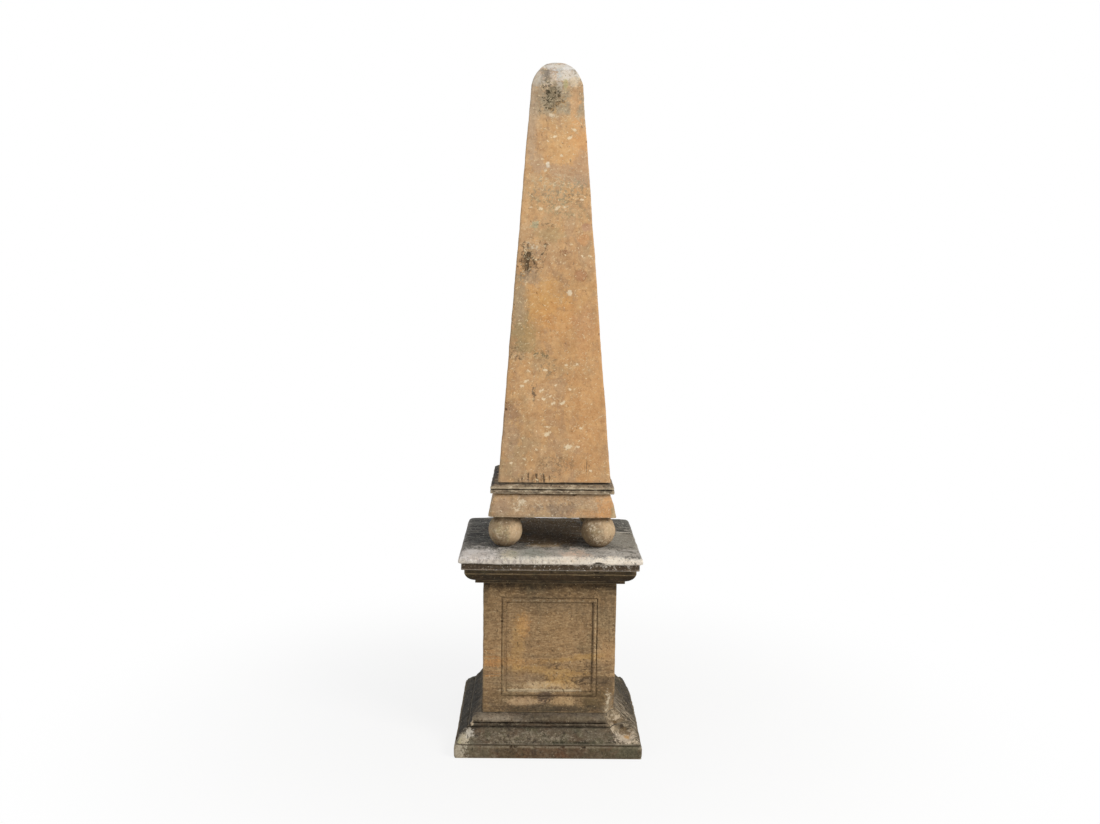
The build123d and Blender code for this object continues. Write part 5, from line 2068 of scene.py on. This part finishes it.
@dataclass(frozen=True)
class Joints:
    """Lime beds with rough edges, and the hidden iron."""

    beds: tuple[str, ...] = ("rake", "base", "die", "cornice", "capping", "band", "shaft")
    iron: tuple[str, ...] = (
        "spindle",
        "dowel_front_left",
        "dowel_front_right",
        "dowel_back_left",
        "dowel_back_right",
    )

    def bed(self, name: str, seed: int, material: bpy.types.Material) -> bpy.types.Object:
        """One lime bed, its edge pressed out unevenly."""
        seat = Seat.of(f"bed_under_{name}")
        middle = (seat.foot + seat.head) / 2
        rings = [
            Ring(seat.half_width - 0.006, seat.half_depth - 0.006, seat.foot),
            Ring(seat.half_width, seat.half_depth, seat.foot + 0.0002),
            Ring(seat.half_width + 0.0006, seat.half_depth + 0.0006, middle),
            Ring(seat.half_width, seat.half_depth, seat.head - 0.0002),
            Ring(seat.half_width - 0.006, seat.half_depth - 0.006, seat.head),
        ]
        stone = Stone(f"joint_{name}", seed)
        stone.loft(rings, 0.004, 90)
        for vert in stone.mesh.verts:
            push = 0.0016 * noise.fractal(vert.co / 0.018 + stone.drift, 0.9, 2.1, 3)
            vert.co.x += math.copysign(push, vert.co.x) if abs(vert.co.x) > seat.half_width - 0.004 else 0.0
            vert.co.y += math.copysign(push, vert.co.y) if abs(vert.co.y) > seat.half_depth - 0.004 else 0.0
        stone.move(seat.middle)
        if name in ("rake", "base", "die"):
            Pedestal().trim_back(stone)
        return stone.finish(material)

    def assemble(self) -> None:
        """Build and hand over the beds, and dress the iron."""
        mortar = LimeMortar().build()
        pedestal = Pedestal()
        for seed, name in enumerate(self.beds, 71):
            piece = self.bed(name, seed, mortar)
            if name in ("base", "die"):
                pedestal.break_corner(piece)
            hand_over(piece, "lime_mortar", f"bed_under_{name}")
        iron = WroughtIron().build()
        for name in self.iron:
            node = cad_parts[name]
            node.data.materials.clear()
            node.data.materials.append(iron)
            LOG.info("%s: carried over, wrought iron", name)


@dataclass(frozen=True)
class Studio:
    """Pale floor under an even sky, with one large soft lamp and a weaker one."""

    sky: float = 0.54
    floor_radius: float = 14.0
    floor_colour: Colour = (0.80, 0.79, 0.77, 1.0)
    clear_from: float = 0.5
    clear_to: float = 1.9

    def seen(self, tree: bpy.types.NodeTree) -> Socket:
        """1 for the rays that show a thing: camera, glossy and transmission."""
        path = tree.nodes.new("ShaderNodeLightPath")
        share = path.outputs["Is Camera Ray"]
        for name in ("Is Glossy Ray", "Is Transmission Ray"):
            either = tree.nodes.new("ShaderNodeMath")
            either.operation = "MAXIMUM"
            tree.links.new(share, either.inputs[0])
            tree.links.new(path.outputs[name], either.inputs[1])
            share = either.outputs[0]
        return share

    def sky_light(self) -> None:
        """Even sky that shows white."""
        world = bpy.data.worlds.new("sky")
        world.use_nodes = True
        tree = world.node_tree
        tree.nodes.clear()
        soft = tree.nodes.new("ShaderNodeBackground")
        soft.inputs["Color"].default_value = (0.96, 0.98, 1.0, 1.0)
        soft.inputs["Strength"].default_value = self.sky
        white = tree.nodes.new("ShaderNodeBackground")
        white.inputs["Color"].default_value = (1.0, 1.0, 1.0, 1.0)
        white.inputs["Strength"].default_value = 1.0
        choose = tree.nodes.new("ShaderNodeMixShader")
        tree.links.new(self.seen(tree), choose.inputs[0])
        tree.links.new(soft.outputs[0], choose.inputs[1])
        tree.links.new(white.outputs[0], choose.inputs[2])
        end = tree.nodes.new("ShaderNodeOutputWorld")
        tree.links.new(choose.outputs[0], end.inputs["Surface"])
        bpy.context.scene.world = world

    def floor_paint(self) -> bpy.types.Material:
        """Pale floor that clears to white away from the object."""
        graph = Graph("floor_paint")
        split = graph.add("ShaderNodeSeparateXYZ")
        graph.feed(split.inputs[0], graph.place)
        squares = [graph.times(split.outputs[axis], split.outputs[axis]) for axis in ("X", "Y")]
        apart = graph.calc("SQRT", graph.calc("ADD", *squares))
        clear = graph.span(apart, self.clear_from, self.clear_to, 0.84, 1.0)
        share = graph.times(clear, self.seen(graph.tree))
        matt = graph.add("ShaderNodeBsdfDiffuse")
        matt.inputs["Color"].default_value = self.floor_colour
        white = graph.add("ShaderNodeEmission")
        white.inputs["Strength"].default_value = 1.0
        choose = graph.add("ShaderNodeMixShader")
        graph.feed(choose.inputs[0], share)
        graph.feed(choose.inputs[1], matt.outputs[0])
        graph.feed(choose.inputs[2], white.outputs[0])
        end = graph.add("ShaderNodeOutputMaterial")
        graph.feed(end.inputs["Surface"], choose.outputs[0])
        return graph.material

    def floor(self) -> None:
        """Round floor just under the plinth."""
        mesh = bmesh.new()
        under = Matrix.Translation((0.0, 0.0, CAD_BOX[0][2] - 0.0002))
        bmesh.ops.create_circle(
            mesh, cap_ends=True, segments=96, radius=self.floor_radius, matrix=under
        )
        floor = linked("floor", mesh_data("floor", mesh))
        floor.data.materials.append(self.floor_paint())

    def lamp(self, name: str, place: Triple, size: float, power: float, colour: Triple) -> None:
        """Hang one square lamp that faces the middle of the object.

        Args:
            name: Name of the lamp.
            place: Where it hangs.
            size: Length of its side.
            power: Watts.
            colour: Colour of its light.
        """
        data = bpy.data.lights.new(name, "AREA")
        data.shape = "SQUARE"
        data.size = size
        data.energy = power
        data.color = colour
        lamp = linked(name, data)
        lamp.location = place
        low, high = Vector(CAD_BOX[0]), Vector(CAD_BOX[1])
        aim = (low + high) / 2 - lamp.location
        lamp.rotation_euler = aim.to_track_quat("-Z", "Y").to_euler()

    def assemble(self) -> None:
        """Set up floor, sky and lamps."""
        bpy.context.scene.view_settings.view_transform = "Standard"
        self.sky_light()
        self.floor()
        self.lamp("key", (4.0, -3.7, 3.9), 2.4, 250.0, (1.0, 0.97, 0.93))
        self.lamp("fill", (-3.6, -3.6, 1.6), 3.5, 22.0, (0.92, 0.96, 1.0))


@dataclass(frozen=True)
class Viewpoint:
    """Camera that looks at the front, a little from above and from the left."""

    place: Triple = (-0.05069, -3.83124, 1.56188)
    yaw: float = 0.0121
    pitch: float = -0.1209
    roll: float = 0.0125
    lens: float = 37.2215
    sensor: float = 36.0

    def assemble(self) -> None:
        """Put the camera up and use it."""
        data = bpy.data.cameras.new("viewpoint")
        data.sensor_fit = "HORIZONTAL"
        data.sensor_width = self.sensor
        data.lens = self.lens
        camera = linked("viewpoint", data)
        ahead = Vector(
            (
                math.sin(self.yaw) * math.cos(self.pitch),
                math.cos(self.yaw) * math.cos(self.pitch),
                math.sin(self.pitch),
            )
        )
        right = ahead.cross(Vector((0.0, 0.0, 1.0))).normalized()
        up = right.cross(ahead)
        side = math.cos(self.roll) * right + math.sin(self.roll) * up
        top = math.cos(self.roll) * up - math.sin(self.roll) * right
        turn = Matrix((side, top, -ahead)).transposed()
        camera.matrix_world = Matrix.Translation(self.place) @ turn.to_4x4()
        bpy.context.scene.camera = camera


def main() -> None:
    """Build the whole obelisk from the ground up, then the studio round it."""
    logging.basicConfig(level=logging.INFO, format="%(message)s")
    Studio().assemble()
    Viewpoint().assemble()
    for part in (Pedestal(), Capping(), BallFeet(), Obelisk(), Joints()):
        part.assemble()


if __name__ == "__main__":
    main()
